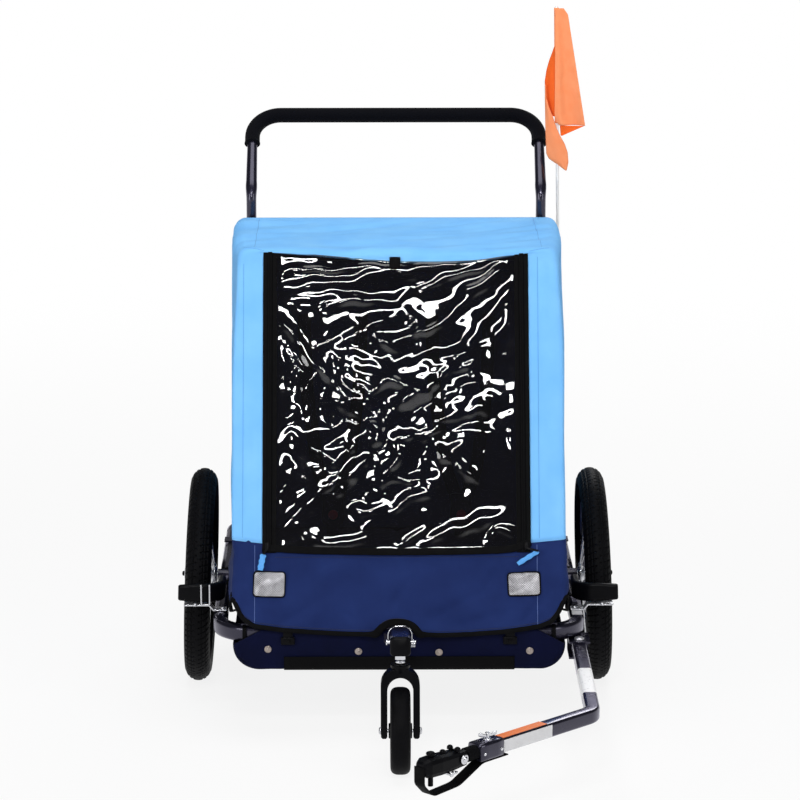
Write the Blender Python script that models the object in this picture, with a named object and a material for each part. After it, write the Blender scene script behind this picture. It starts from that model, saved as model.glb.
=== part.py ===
"""Child bike trailer for two seats: a folding tube frame with a fabric cabin, two spoked wheels,
a swivelling front caster, a push bar, a hitch arm with its coupler, and a safety flag.

Metres, +Z up. The front faces -Y and the wheel axle lies at Y = 0 while the pieces are built.
At the end the whole trailer is moved so that its origin is under the middle of its outline.
"""

import math

import bmesh
import bpy
from mathutils import Matrix, Vector

SEAT_GAP = 0.0003  # what touching pieces keep between them
PIN_PLAY = 0.0003  # radial play of a pin in its hole

# Base frame: flat-sided tube with rounded edges
RAIL_WIDTH = 0.025
RAIL_HEIGHT = 0.030
RAIL_EDGE = 0.008
RAIL_WALL = 0.0015
RAIL_BOTTOM_Z = 0.170
RAIL_HALF_SPAN = 0.323  # from the middle plane to a side rail's centre line; every width follows it
FRONT_RAIL_Y = -0.3575
REAR_RAIL_Y = 0.4175
FRONT_CORNER_R = 0.072
REAR_CORNER_R = 0.055
FRONT_JOINT_Y = -0.282
REAR_JOINT_Y = 0.348
SPIGOT_LENGTH = 0.030

# Wheels: 47-305 tyres on spoked wheels, leaning in at the top
WHEEL_STEPS = 36  # facets round a rim and its tyre
TYRE_RADIUS = 0.200
TYRE_SECTION_R = 0.0235
TYRE_WALL = 0.004
RIM_FLANGE_R = 0.159
RIM_DEPTH = 0.018
RIM_INNER_R = RIM_FLANGE_R - RIM_DEPTH
RIM_WIDTH = 0.029
RIM_FLANGE = 0.0018
RIM_WELL = 0.0065  # from the flange's edge down to the bead's seat
BEAD_CLEARANCE = 0.0023
WHEEL_CLEARANCE = 0.010  # from a side rail to the tyre
WHEEL_HALF_TRACK = RAIL_HALF_SPAN + RAIL_WIDTH / 2 + WHEEL_CLEARANCE + TYRE_SECTION_R
CAMBER = math.radians(2.0)
SPOKE_COUNT = 20
SPOKE_R = 0.0010
HUB_FLANGE_R = 0.022
HUB_FLANGE_X = 0.024
HUB_BARREL_R = 0.0115
HUB_HALF_WIDTH = 0.029
AXLE_R = 0.006
AXLE_IN_X = RAIL_HALF_SPAN - 0.0105  # a stub axle's inner end, from the middle plane
RECEIVER_R = 0.011
RECEIVER_OUT_X = RAIL_HALF_SPAN + 0.0155
BUTTON_R = 0.0045
BUTTON_TRAVEL = 0.004

# Wheel guards ahead of the tyres, on zinc-plated straps
GUARD_Y = -0.252
GUARD_HEIGHT = 0.034
GUARD_THICKNESS = 0.014
GUARD_TIP_X = WHEEL_HALF_TRACK + 0.0385
GUARD_BOTTOM_Z = 0.211
STRAP_THICKNESS = 0.0025

# Two hoops carry the cabin and fold towards each other
HOOP_R = 0.0095
FRONT_HOOP_X = RAIL_HALF_SPAN - 0.050
FRONT_PIVOT_Y = -0.345
FRONT_PIVOT_Z = 0.224
FRONT_BAR_Y = -0.100
REAR_HOOP_X = RAIL_HALF_SPAN - 0.025
REAR_HOOP_Y = 0.252
REAR_PIVOT_Z = 0.252
HOOP_CORNER_R = 0.045
HOOP_END = 0.012
HINGE_PIN_R = 0.004
BRACKET_THICKNESS = 0.003

# Push bar
BAR_R = 0.0095
BAR_HALF_WIDTH = REAR_HOOP_X - 0.0192
BAR_PIVOT_Y = 0.290
BAR_BELOW_ROOF = 0.038
BAR_RISE = 0.085
BAR_LEAN_HEIGHT = 0.127
BAR_TOP_Y = 0.430
BAR_CORNER_R = 0.055
GRIP_R = 0.0144
GRIP_DOWN = 0.072

# Cabin cover
CLOTH = 0.002
HEM_Y = -0.385
HEM_Z = 0.190
ROOF_FRONT_Y = -0.115
ROOF_FRONT_Z = 0.838
BAR_PIVOT_Z = ROOF_FRONT_Z - BAR_BELOW_ROOF
BAR_BEND_Z = BAR_PIVOT_Z + BAR_RISE
BAR_TOP_Z = BAR_BEND_Z + BAR_LEAN_HEIGHT
ROOF_REAR_Z = ROOF_FRONT_Z - 0.002
ROOF_CLOTH = 0.0025
COVER_HALF_REAR = REAR_HOOP_X + HOOP_R + 0.003
COVER_HALF_FRONT = COVER_HALF_REAR - 0.012
SIDE_BULGE = 0.004
BOOT_TOP_Z = 0.600
BOOT_FOLD_Z = 0.350
BOOT_REAR_Y = 0.430
APRON_TOP_Z = 0.347
WINDOW_HALF_WIDTH = COVER_HALF_FRONT - 0.0575
WINDOW_TOP_Z = ROOF_FRONT_Z - 0.008
WINDOW_BOTTOM_Z = 0.325
WINDOW_BAND = 0.0225
WINDOW_EDGE = 0.009
PANE = 0.0008
ARCH_HALF_WIDTH = 0.036
ARCH_RISE = 0.036
PATCH_X = WINDOW_HALF_WIDTH - 0.008
PATCH_Z = 0.279
PATCH_WIDTH = 0.056
PATCH_HEIGHT = 0.042
PATCH_THICKNESS = 0.0008

# Floor tub and seat
TUB_CLEARANCE = 0.0145  # from the tub's side wall to the side rail
TUB_HALF_WIDTH = RAIL_HALF_SPAN - RAIL_WIDTH / 2 - TUB_CLEARANCE
TUB_FRONT_Y = -0.3738
TUB_STEP_Y = -0.030
TUB_BOTTOM_Z = 0.124
TUB_CORNER_R = 0.043
TUB_CLOTH = 0.0028
STRIP_INSET = 0.090
STRIP_FACE = 0.023  # up the tub's front
STRIP_UNDER = 0.040  # back under the tub
STRIP_THICKNESS = 0.0015
SEAT_HALF_WIDTH = TUB_HALF_WIDTH - 0.038
SEAT_FRONT_Y = -0.035
SEAT_REAR_Y = 0.205
SEAT_THICKNESS = 0.045
SEATBACK_TOP_Z = 0.745
SEATBACK_THICKNESS = 0.012
SEATBACK_SETBACK = 0.055
SEATBACK_LEAN = 0.062
CHILD_INSET = 0.136
CHILD_X = SEAT_HALF_WIDTH - CHILD_INSET
HARNESS_SPREAD = 0.055  # from a child's middle to each shoulder strap
HARNESS_TOP_Z = SEATBACK_TOP_Z - 0.085
BUCKLE_RISE = 0.060
BUCKLE_AHEAD = 0.075
WEBBING_HALF_WIDTH = 0.0125
WEBBING_HALF = 0.001

# Caster
CASTER_R = 0.076
CASTER_WIDTH = 0.035
CASTER_HUB_HALF = 0.0205
SWIVEL_Y = -0.565
CASTER_TRAIL = 0.025
FORK_HALF_WIDTH = 0.034
FORK_LEG = 0.0115
FORK_DEPTH = 0.022
CROWN_TOP_Z = 0.183
STEERER_R = 0.009
COLLAR_R = 0.0155
COLLAR_TOP_Z = 0.197
CASTER_ARM_WIDTH = 0.035
CASTER_ARM_HEIGHT = 0.033
CASTER_ARM_WALL = 0.003
CASTER_ARM_REAR_Z = 0.1875
CASTER_ARM_END_Y = -0.602
CASTER_ARM_END_Z = 0.231
LOCK_PIN_Y = -0.520
LOCK_PIN_R = 0.003
BAIL_R = 0.0011

# Hitch arm and coupler
ARM_SIZE = 0.025
ARM_EDGE = 0.005
ARM_PIVOT_X = RAIL_HALF_SPAN
ARM_PIVOT_Y = -0.347
ARM_BEND_Y = -0.748
ARM_BEND = math.radians(45)
ARM_BEND_R = 0.042
ARM_REACH = 0.262  # from the bend to the arm's front end
ARM_PIN_R = 0.005
SLEEVE_SIZE = 0.031
SLEEVE_LENGTH = 0.076
NECK_R = 0.011
NECK_LENGTH = 0.042
HEAD_LENGTH = 0.098
HEAD_HEIGHT = 0.034
HEAD_WIDTH = 0.034
HITCH_PIN_R = 0.0043

# Flag
POLE_R = 0.003
POLE_Y = 0.330
POLE_TOP_X = RAIL_HALF_SPAN - 0.0155
POLE_TOP_Z = 1.235
FLAG_CLOTH = 0.0008
FLAG_FOLD = 0.034  # from one fold's hollow to the next

RAIL_Z = RAIL_BOTTOM_Z + RAIL_HEIGHT / 2
RAIL_TOP_Z = RAIL_BOTTOM_Z + RAIL_HEIGHT
AXLE_Z = (TYRE_RADIUS - TYRE_SECTION_R) * math.cos(CAMBER) + TYRE_SECTION_R
SIDE_BOTTOM_Z = AXLE_Z + RECEIVER_R + SEAT_GAP
REAR_FACE_Y = REAR_HOOP_Y + HOOP_R + SEAT_GAP + CLOTH
ARM_TOP_Z = RAIL_BOTTOM_Z - BRACKET_THICKNESS - 2 * SEAT_GAP
ARM_Z = ARM_TOP_Z - ARM_SIZE / 2


def clear_scene():
    for thing in list(bpy.data.objects):
        bpy.data.objects.remove(thing, do_unlink=True)


def material(name, colour, roughness, metallic=0.0):
    made = bpy.data.materials.new(name)
    made.use_nodes = True
    shader = made.node_tree.nodes["Principled BSDF"]
    shader.inputs["Base Color"].default_value = (*colour, 1.0)
    shader.inputs["Roughness"].default_value = roughness
    shader.inputs["Metallic"].default_value = metallic
    return made


def black_plastic(name):
    return material(name, (0.008, 0.008, 0.010), 0.45)


def dark_paint(name):
    return material(name, (0.018, 0.017, 0.024), 0.35, 0.6)


def zinc(name):
    return material(name, (0.60, 0.60, 0.62), 0.30, 1.0)


def light_blue_cloth(name):
    return material(name, (0.21, 0.53, 0.96), 0.85)


def navy_cloth(name):
    return material(name, (0.018, 0.035, 0.12), 0.85)


def add(name, mesh_data, look, place=None, origin=None, sharp=35):
    """An object from a bmesh. A mesh built in trailer coordinates is moved to its own origin."""
    origin = Vector(origin or (0, 0, 0))
    bmesh.ops.translate(mesh_data, vec=-origin, verts=mesh_data.verts)
    bmesh.ops.recalc_face_normals(mesh_data, faces=mesh_data.faces)
    mesh = bpy.data.meshes.new(name)
    mesh_data.to_mesh(mesh)
    mesh_data.free()
    mesh.shade_smooth()
    mesh.set_sharp_from_angle(angle=math.radians(sharp))
    thing = bpy.data.objects.new(name, mesh)
    bpy.context.collection.objects.link(thing)
    if look:
        mesh.materials.append(look)
    thing.matrix_local = place or Matrix.Translation(origin)
    return thing


def combine(target, tool, operation):
    """A Boolean with a helper object, which is kept as a hidden guide."""
    tool.hide_render = True
    tool.display_type = "WIRE"
    modifier = target.modifiers.new(f"{operation.lower()}_{tool.name}", "BOOLEAN")
    modifier.operation = operation
    modifier.object = tool
    modifier.solver = "EXACT"


def arc(centre, radius, start, end, steps):
    """Points on an arc, angles in degrees."""
    angles = [math.radians(start + (end - start) * i / steps) for i in range(steps + 1)]
    return [(centre[0] + radius * math.cos(a), centre[1] + radius * math.sin(a)) for a in angles]


def rounded_rectangle(width, height, radius, steps=2):
    x, y = width / 2 - radius, height / 2 - radius
    corners = (((x, y), 0), ((-x, y), 90), ((-x, -y), 180), ((x, -y), 270))
    return [p for centre, start in corners for p in arc(centre, radius, start, start + 90, steps)]


def circle(radius, sides):
    return arc((0, 0), radius, 0, 360, sides)[:-1]


def rounded_path(corners, radii, steps=6):
    """A path through corners, each inner corner replaced by an arc of its radius."""
    points = [Vector(corners[0])]
    for before, corner, after, radius in zip(corners, corners[1:], corners[2:], radii):
        before, corner, after = Vector(before), Vector(corner), Vector(after)
        back = (before - corner).normalized()
        ahead = (after - corner).normalized()
        half = back.angle(ahead) / 2
        centre = corner + (back + ahead).normalized() * (radius / math.sin(half))
        first = corner + back * (radius / math.tan(half)) - centre
        turn = math.pi - 2 * half
        axis = back.cross(ahead).normalized()
        for i in range(steps + 1):
            points.append(centre + Matrix.Rotation(-turn * i / steps, 3, axis) @ first)
    points.append(Vector(corners[-1]))
    return points


def ring_frames(path, side):
    """Two axes square to the path at each point, mitred at the corners. side is the first axis."""
    frames = []
    for i, point in enumerate(path):
        back = (point - path[max(i - 1, 0)]).normalized() if i else None
        ahead = (path[i + 1] - point).normalized() if i + 1 < len(path) else None
        along = ((back or ahead) + (ahead or back)).normalized()
        across = side - along * side.dot(along)
        across.normalize()
        frames.append((point, across, along.cross(across), along, back or ahead))
    return frames


def sweep(path, section, side=(0, 0, 1), wall_section=None, scales=None):
    """A closed solid: the section carried along the path, with flat ends. A wall section hollows it."""
    path = [Vector(p) for p in path]
    side = Vector(side)
    made = bmesh.new()
    frames = ring_frames(path, side)

    def rings(outline):
        loops = []
        for n, (point, across, other, along, back) in enumerate(frames):
            size = scales[n] if scales else 1.0
            cosine = max(0.3, along.dot(back))
            turn_axis = along.cross(back)
            loop = []
            for a, b in outline:
                offset = (across * a + other * b) * size
                if turn_axis.length > 1e-6:
                    outward = turn_axis.normalized().cross(along)
                    offset += outward * offset.dot(outward) * (1 / cosine - 1)
                loop.append(made.verts.new(point + offset))
            loops.append(loop)
        return loops

    def skin(loops):
        for first, second in zip(loops, loops[1:]):
            for i in range(len(first)):
                j = (i + 1) % len(first)
                made.faces.new((first[i], first[j], second[j], second[i]))

    outer = rings(section)
    skin(outer)
    if wall_section is None:
        made.faces.new(outer[0])
        made.faces.new(outer[-1])
        return made
    inner = rings(wall_section)
    skin(inner)
    for one, two in ((outer[0], inner[0]), (outer[-1], inner[-1])):
        for i in range(len(one)):
            j = (i + 1) % len(one)
            made.faces.new((one[i], one[j], two[j], two[i]))
    return made


def turned(profile, steps, axis="X", closed=True):
    """A solid of revolution. The profile is (distance along the axis, radius); a closed one makes a ring."""
    made = bmesh.new()
    turns = [2 * math.pi * i / steps for i in range(steps)]
    loops = []
    for along, radius in profile:
        if radius == 0:
            spots = [(along, 0.0, 0.0)]
        else:
            spots = [(along, radius * math.sin(a), -radius * math.cos(a)) for a in turns]
        loops.append([made.verts.new(s) for s in spots])
    pairs = list(zip(loops, loops[1:]))
    if closed:
        pairs.append((loops[-1], loops[0]))
    for first, second in pairs:
        for i in range(steps):
            j = (i + 1) % steps
            corners = [first[i % len(first)], first[j % len(first)]]
            corners += [second[j % len(second)], second[i % len(second)]]
            unique = list(dict.fromkeys(corners))
            made.faces.new(unique)
    if axis == "Z":
        bmesh.ops.rotate(made, verts=made.verts, cent=(0, 0, 0), matrix=Matrix.Rotation(-math.pi / 2, 3, "Y"))
    if axis == "Y":
        bmesh.ops.rotate(made, verts=made.verts, cent=(0, 0, 0), matrix=Matrix.Rotation(math.pi / 2, 3, "Z"))
    return made


def rod(start, end, radius, sides=12):
    """A round bar from start to end."""
    start, end = Vector(start), Vector(end)
    made = bmesh.new()
    bmesh.ops.create_cone(
        made,
        cap_ends=True,
        segments=sides,
        radius1=radius,
        radius2=radius,
        depth=(end - start).length,
    )
    turn = Vector((0, 0, 1)).rotation_difference(end - start).to_matrix()
    bmesh.ops.rotate(made, verts=made.verts, cent=(0, 0, 0), matrix=turn)
    bmesh.ops.translate(made, verts=made.verts, vec=(start + end) / 2)
    return made


def block(low, high, edge=0.0, segments=2):
    """A box between two corners, with its edges rounded."""
    low, high = Vector(low), Vector(high)
    made = bmesh.new()
    bmesh.ops.create_cube(made, size=1.0)
    for corner in made.verts:
        corner.co = [low[i] if corner.co[i] < 0 else high[i] for i in range(3)]
    if edge:
        bmesh.ops.bevel(
            made,
            geom=made.edges[:],
            offset=edge,
            segments=segments,
            profile=0.5,
            affect="EDGES",
        )
    return made


def prism(outline, depth, place):
    """A flat outline given as (u, v), thickened from 0 to depth along its normal, then placed."""
    made = bmesh.new()
    near = [made.verts.new(place @ Vector((u, v, 0))) for u, v in outline]
    far = [made.verts.new(place @ Vector((u, v, depth))) for u, v in outline]
    made.faces.new(near)
    made.faces.new(far)
    for i in range(len(near)):
        j = (i + 1) % len(near)
        made.faces.new((near[i], near[j], far[j], far[i]))
    return made


def sheet(rows, thickness):
    """A closed solid from a grid of points, thickened along the grid's normals."""
    made = bmesh.new()
    rows = [[Vector(p) for p in row] for row in rows]
    high, wide = len(rows), len(rows[0])

    def normal(i, j):
        down = rows[min(i + 1, high - 1)][j] - rows[max(i - 1, 0)][j]
        across = rows[i][min(j + 1, wide - 1)] - rows[i][max(j - 1, 0)]
        return across.cross(down).normalized()

    front = [[made.verts.new(p) for p in row] for row in rows]
    back = []
    for i, row in enumerate(rows):
        back.append([made.verts.new(p + normal(i, j) * thickness) for j, p in enumerate(row)])
    for i in range(high - 1):
        for j in range(wide - 1):
            for side in (front, back):
                made.faces.new((side[i][j], side[i][j + 1], side[i + 1][j + 1], side[i + 1][j]))
    border = [(0, j) for j in range(wide)]
    border += [(i, wide - 1) for i in range(1, high)]
    border += [(high - 1, j) for j in range(wide - 2, -1, -1)]
    border += [(i, 0) for i in range(high - 2, 0, -1)]
    for (a, b), (c, d) in zip(border, border[1:] + border[:1]):
        made.faces.new((front[a][b], front[c][d], back[c][d], back[a][b]))
    return made


def both_sides():
    return (("left", -1), ("right", 1))


RAIL_SECTION = rounded_rectangle(RAIL_HEIGHT, RAIL_WIDTH, RAIL_EDGE, 2)
SPIGOT_SCALE = (RAIL_WIDTH - 2 * RAIL_WALL - 2 * PIN_PLAY) / RAIL_WIDTH


def end_rail(name, rail_y, joint_y, corner_r):
    """A bent end tube, its reduced ends pushed into the side rails."""
    ahead = math.copysign(1, joint_y - rail_y)
    tip_y = joint_y + ahead * SPIGOT_LENGTH
    x = RAIL_HALF_SPAN
    bend = rounded_path(
        [(-x, joint_y, RAIL_Z), (-x, rail_y, RAIL_Z), (x, rail_y, RAIL_Z), (x, joint_y, RAIL_Z)],
        [corner_r, corner_r],
        5,
    )
    step = Vector((0, ahead * SEAT_GAP / 2, 0))
    left_tip, right_tip = Vector((-x, tip_y, RAIL_Z)), Vector((x, tip_y, RAIL_Z))
    path = [left_tip, bend[0] + step] + bend + [bend[-1] + step, right_tip]
    small = SPIGOT_SCALE
    scales = [small, small] + [1.0] * len(bend) + [small, small]
    return add(name, sweep(path, RAIL_SECTION, scales=scales), dark_paint(name))


def side_rails():
    """Straight open tubes between the two bent ends, coped on top for the axle receiver."""
    inner = rounded_rectangle(
        RAIL_HEIGHT - 2 * RAIL_WALL,
        RAIL_WIDTH - 2 * RAIL_WALL,
        RAIL_EDGE - RAIL_WALL,
    )
    for side, sign in both_sides():
        x = sign * RAIL_HALF_SPAN
        front = FRONT_JOINT_Y + SEAT_GAP
        rear = REAR_JOINT_Y - SEAT_GAP
        path = [(x, front, RAIL_Z), (x, rear, RAIL_Z)]
        rail = add(
            f"side_rail_{side}",
            sweep(path, RAIL_SECTION, wall_section=inner),
            dark_paint(f"side_rail_{side}"),
        )
        notch = rod(
            axle_point(sign, RAIL_HALF_SPAN - RAIL_WIDTH),
            axle_point(sign, RAIL_HALF_SPAN + RAIL_WIDTH),
            RECEIVER_R + SEAT_GAP,
            16,
        )
        combine(rail, add(f"cope_{side}", notch, None), "DIFFERENCE")
        if side == "right":
            combine(rail, add("flag_socket_shape", flag_socket(), None), "UNION")


def receiver_z(x):
    """Height of the tilted axle line at a distance from the middle plane."""
    return AXLE_Z - (WHEEL_HALF_TRACK - abs(x)) * math.tan(CAMBER)


def axle_point(sign, x):
    return Vector((sign * x, 0, receiver_z(x)))


def axle_crossbar():
    """Cross tube under the seat, with a bored receiver for a stub axle at each end."""
    inside = RAIL_HALF_SPAN - RAIL_WIDTH / 2 - SEAT_GAP
    tube = sweep([(-inside, 0, RAIL_Z), (inside, 0, RAIL_Z)], RAIL_SECTION)
    bar = add("axle_crossbar", tube, dark_paint("axle_crossbar"))
    for side, sign in both_sides():
        start = axle_point(sign, inside - 0.012)
        end = axle_point(sign, RECEIVER_OUT_X)
        combine(bar, add(f"receiver_shape_{side}", rod(start, end, RECEIVER_R, 12), None), "UNION")
    for side, sign in both_sides():
        hole = rod(
            axle_point(sign, AXLE_IN_X - SEAT_GAP),
            axle_point(sign, RECEIVER_OUT_X + 0.01),
            AXLE_R + PIN_PLAY,
            16,
        )
        combine(bar, add(f"receiver_bore_{side}", hole, None), "DIFFERENCE")


def wheel_place(sign):
    """Places a wheel built round local X, which points outwards and, with the camber, up."""
    place = Matrix.Translation((sign * WHEEL_HALF_TRACK, 0, AXLE_Z))
    if sign < 0:
        place = place @ Matrix.Rotation(math.pi, 4, "Z")
    return place @ Matrix.Rotation(-CAMBER, 4, "Y")


def rim_profile():
    half = RIM_WIDTH / 2
    well_r = RIM_FLANGE_R - RIM_WELL
    outside = [(half - 0.005, RIM_INNER_R), (half, RIM_FLANGE_R)]
    inside = [
        (half - RIM_FLANGE, RIM_FLANGE_R),
        (half - 0.003, well_r + 0.001),
        (half - 0.009, well_r - 0.002),
    ]
    right = outside + inside
    return right + [(-x, r) for x, r in reversed(right)]


def tyre_profile():
    """A C-shaped tyre that necks in to its two beads, which stand inside the rim's flanges."""
    centre_r = TYRE_RADIUS - TYRE_SECTION_R
    outer = tyre_arc(centre_r, TYRE_SECTION_R, 4)
    inner = tyre_arc(centre_r, TYRE_SECTION_R - TYRE_WALL, 2)
    flange_x = RIM_WIDTH / 2 - RIM_FLANGE - SEAT_GAP
    bead_r = RIM_FLANGE_R - RIM_WELL + BEAD_CLEARANCE
    beads = [
        (flange_x, RIM_FLANGE_R + 2 * SEAT_GAP),
        (flange_x - 0.0010, bead_r),
        (flange_x - 0.0042, bead_r),
        (flange_x - 0.0028, RIM_FLANGE_R + 0.0016),
    ]
    left_beads = [(-x, r) for x, r in reversed(beads)]
    return outer + beads + inner[::-1] + left_beads


def tyre_arc(centre_r, radius, half_count):
    most = math.radians(125)
    angles = [most * i / half_count for i in range(-half_count, half_count + 1)]
    return [(radius * math.sin(a), centre_r + radius * math.cos(a)) for a in angles]


def hub_profile():
    bore = AXLE_R + PIN_PLAY
    flange = HUB_FLANGE_X
    half = HUB_HALF_WIDTH
    right = [
        (0.006, HUB_BARREL_R),
        (flange - 0.005, HUB_BARREL_R + 0.001),
        (flange - 0.0015, HUB_FLANGE_R),
        (flange + 0.0015, HUB_FLANGE_R),
        (flange + 0.002, HUB_BARREL_R + 0.003),
        (half, HUB_BARREL_R + 0.001),
        (half, bore),
    ]
    left = [(-x, r) for x, r in reversed(right)]
    return left + right


def spokes():
    """Straight spokes from alternate flanges, leaning in turn one way and the other."""
    made = bmesh.new()
    hub_r = HUB_FLANGE_R - 0.003
    for i in range(SPOKE_COUNT):
        side = 1 if i % 2 else -1
        lean = (1 if i % 4 < 2 else -1) * math.radians(9)
        at_rim = 2 * math.pi * i / SPOKE_COUNT
        at_hub = at_rim + lean
        start = (side * HUB_FLANGE_X, hub_r * math.sin(at_hub), hub_r * math.cos(at_hub))
        rim_r = RIM_INNER_R + 0.004
        end = (side * 0.003, rim_r * math.sin(at_rim), rim_r * math.cos(at_rim))
        piece = rod(start, end, SPOKE_R, 4)
        mesh = bpy.data.meshes.new("spoke")
        piece.to_mesh(mesh)
        piece.free()
        made.from_mesh(mesh)
        bpy.data.meshes.remove(mesh)
    return made


def wheels():
    for side, sign in both_sides():
        place = wheel_place(sign)
        name = f"wheel_{side}"
        wheel = add(name, turned(rim_profile(), WHEEL_STEPS), zinc(name), place)
        hub = add(f"hub_shape_{side}", turned(hub_profile(), 12), None, place)
        laced = add(f"spoke_shapes_{side}", spokes(), None, place)
        combine(wheel, laced, "UNION")
        combine(wheel, hub, "UNION")
        name = f"tyre_{side}"
        add(name, turned(tyre_profile(), WHEEL_STEPS), material(name, (0.006, 0.006, 0.007), 0.75), place)
        axle_and_button(side, place)


def axle_and_button(side, place):
    """Stub axle through the hub, with a push button in its outer end that frees the wheel."""
    cos = math.cos(CAMBER)
    inner = (AXLE_IN_X - WHEEL_HALF_TRACK) / cos
    face = HUB_HALF_WIDTH + SEAT_GAP
    head = face + 0.003
    well = BUTTON_TRAVEL + 0.003
    hole = BUTTON_R + PIN_PLAY
    profile = [
        (inner, 0),
        (inner, AXLE_R - 0.001),
        (inner + 0.001, AXLE_R),
        (face, AXLE_R),
        (face, AXLE_R + 0.0035),
        (head, AXLE_R + 0.0025),
        (head, hole),
        (head - well, hole),
        (head - well, 0),
    ]
    name = f"axle_{side}"
    add(name, turned(profile, 12, closed=False), zinc(name), place)
    back = head - well + SEAT_GAP + BUTTON_TRAVEL
    tip = head + BUTTON_TRAVEL
    button = [(back, 0), (back, BUTTON_R), (tip, BUTTON_R), (tip + 0.0005, 0)]
    name = f"release_button_{side}"
    add(name, turned(button, 12, closed=False), black_plastic(name), place)


def wheel_guards():
    """A moulded bar curving out ahead of each tyre, on a stepped strap across the rail."""
    for side, sign in both_sides():
        inner_x = RAIL_HALF_SPAN
        z = GUARD_BOTTOM_Z + GUARD_HEIGHT / 2
        corners = [
            (sign * inner_x, GUARD_Y + 0.075, z),
            (sign * inner_x, GUARD_Y, z),
            (sign * GUARD_TIP_X, GUARD_Y - 0.004, z),
        ]
        path = rounded_path(corners, [0.034], 6)
        section = rounded_rectangle(GUARD_HEIGHT, GUARD_THICKNESS, 0.0055)
        name = f"guard_{side}"
        add(name, sweep(path, section), black_plastic(name))
        guard_strap(side, sign)


def guard_strap(side, sign):
    foot_z = RAIL_TOP_Z + SEAT_GAP
    top_z = GUARD_BOTTOM_Z - SEAT_GAP
    low_x = RAIL_HALF_SPAN - RAIL_WIDTH / 2 + 0.002
    step_x = RAIL_HALF_SPAN + RAIL_WIDTH / 2
    end_x = GUARD_TIP_X - 0.018
    thick = STRAP_THICKNESS
    outline = [
        (low_x, foot_z),
        (step_x, foot_z),
        (step_x + 0.008, top_z - thick),
        (end_x, top_z - thick),
        (end_x, top_z),
        (step_x + 0.007, top_z),
        (step_x - 0.001, foot_z + thick),
        (low_x, foot_z + thick),
    ]
    place = Matrix(((sign, 0, 0, 0), (0, 0, 1, GUARD_Y - 0.013), (0, 1, 0, 0), (0, 0, 0, 1)))
    name = f"guard_strap_{side}"
    strap = add(name, prism(outline, 0.022, place), zinc(name))
    pad = block(
        (min(sign * low_x, sign * step_x), GUARD_Y + 0.009, top_z - thick),
        (max(sign * low_x, sign * step_x), GUARD_Y + 0.060, top_z),
    )
    combine(strap, add(f"strap_pad_{side}", pad, None), "UNION")
    leg = block(
        (min(sign * low_x, sign * step_x), GUARD_Y + 0.0085, foot_z),
        (max(sign * low_x, sign * step_x), GUARD_Y + 0.0115, top_z),
    )
    combine(strap, add(f"strap_riser_{side}", leg, None), "UNION")


def roof_z(y):
    share = (y - ROOF_FRONT_Y) / (REAR_FACE_Y - ROOF_FRONT_Y)
    return ROOF_FRONT_Z + (ROOF_REAR_Z - ROOF_FRONT_Z) * share


def crossbar_z(y):
    """A hoop's crossbar lies just under the roof cloth."""
    return roof_z(y) - ROOF_CLOTH - SEAT_GAP - HOOP_R


def hoop(name, x, foot, top):
    """An inverted U of round tube, its legs running a little past the hinge pins."""
    foot, top = Vector((0, *foot)), Vector((0, *top))
    down = (foot - top).normalized()
    end = foot + down * HOOP_END
    corners = [(-x, end.y, end.z), (-x, top.y, top.z), (x, top.y, top.z), (x, end.y, end.z)]
    path = rounded_path(corners, [HOOP_CORNER_R, HOOP_CORNER_R], 5)
    plane = down.cross(Vector((1, 0, 0)))
    made = add(name, sweep(path, circle(HOOP_R, 10), side=plane), dark_paint(name), origin=foot)
    reach = x + HOOP_R + 0.01
    hole = rod((-reach, foot.y, foot.z), (reach, foot.y, foot.z), HINGE_PIN_R + PIN_PLAY, 12)
    combine(made, add(f"{name}_pin_hole", hole, None), "DIFFERENCE")
    return made


def hoops():
    hoop("front_hoop", FRONT_HOOP_X, (FRONT_PIVOT_Y, FRONT_PIVOT_Z), (FRONT_BAR_Y, crossbar_z(FRONT_BAR_Y)))
    top = (REAR_HOOP_Y, crossbar_z(REAR_HOOP_Y))
    rear = hoop("rear_hoop", REAR_HOOP_X, (REAR_HOOP_Y, REAR_PIVOT_Z), top)
    for side, sign in both_sides():
        combine(rear, add(f"lug_shape_{side}", bar_lug(sign), None), "UNION")
        combine(rear, add(f"stud_shape_{side}", bar_stud(sign), None), "UNION")


LUG_IN_X = BAR_HALF_WIDTH + BAR_R + 0.0012
LUG_OUT_X = LUG_IN_X + 0.004


def bar_lug(sign):
    """Plate welded to a rear post, reaching back through the cover to the push bar's hinge."""
    ends = sorted((sign * LUG_IN_X, sign * LUG_OUT_X))
    low = (ends[0], REAR_HOOP_Y, BAR_PIVOT_Z - 0.014)
    high = (ends[1], BAR_PIVOT_Y + 0.013, BAR_PIVOT_Z + 0.014)
    return block(low, high, 0.001, 1)


def bar_stud(sign):
    """Hinge stud through the push bar's eye, its head on the inner side."""
    inner = BAR_HALF_WIDTH - BAR_R - 0.0010
    profile = [
        (LUG_IN_X + 0.002, 0),
        (LUG_IN_X + 0.002, HINGE_PIN_R),
        (inner, HINGE_PIN_R),
        (inner, 0.0085),
        (inner - 0.003, 0.0085),
        (inner - 0.0045, 0.0065),
        (inner - 0.0045, 0),
    ]
    made = turned(profile, 12, closed=False)
    turn = Matrix.Translation((0, BAR_PIVOT_Y, BAR_PIVOT_Z))
    if sign < 0:
        turn = turn @ Matrix.Rotation(math.pi, 4, "Z")
    bmesh.ops.transform(made, verts=made.verts, matrix=turn)
    return made


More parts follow.
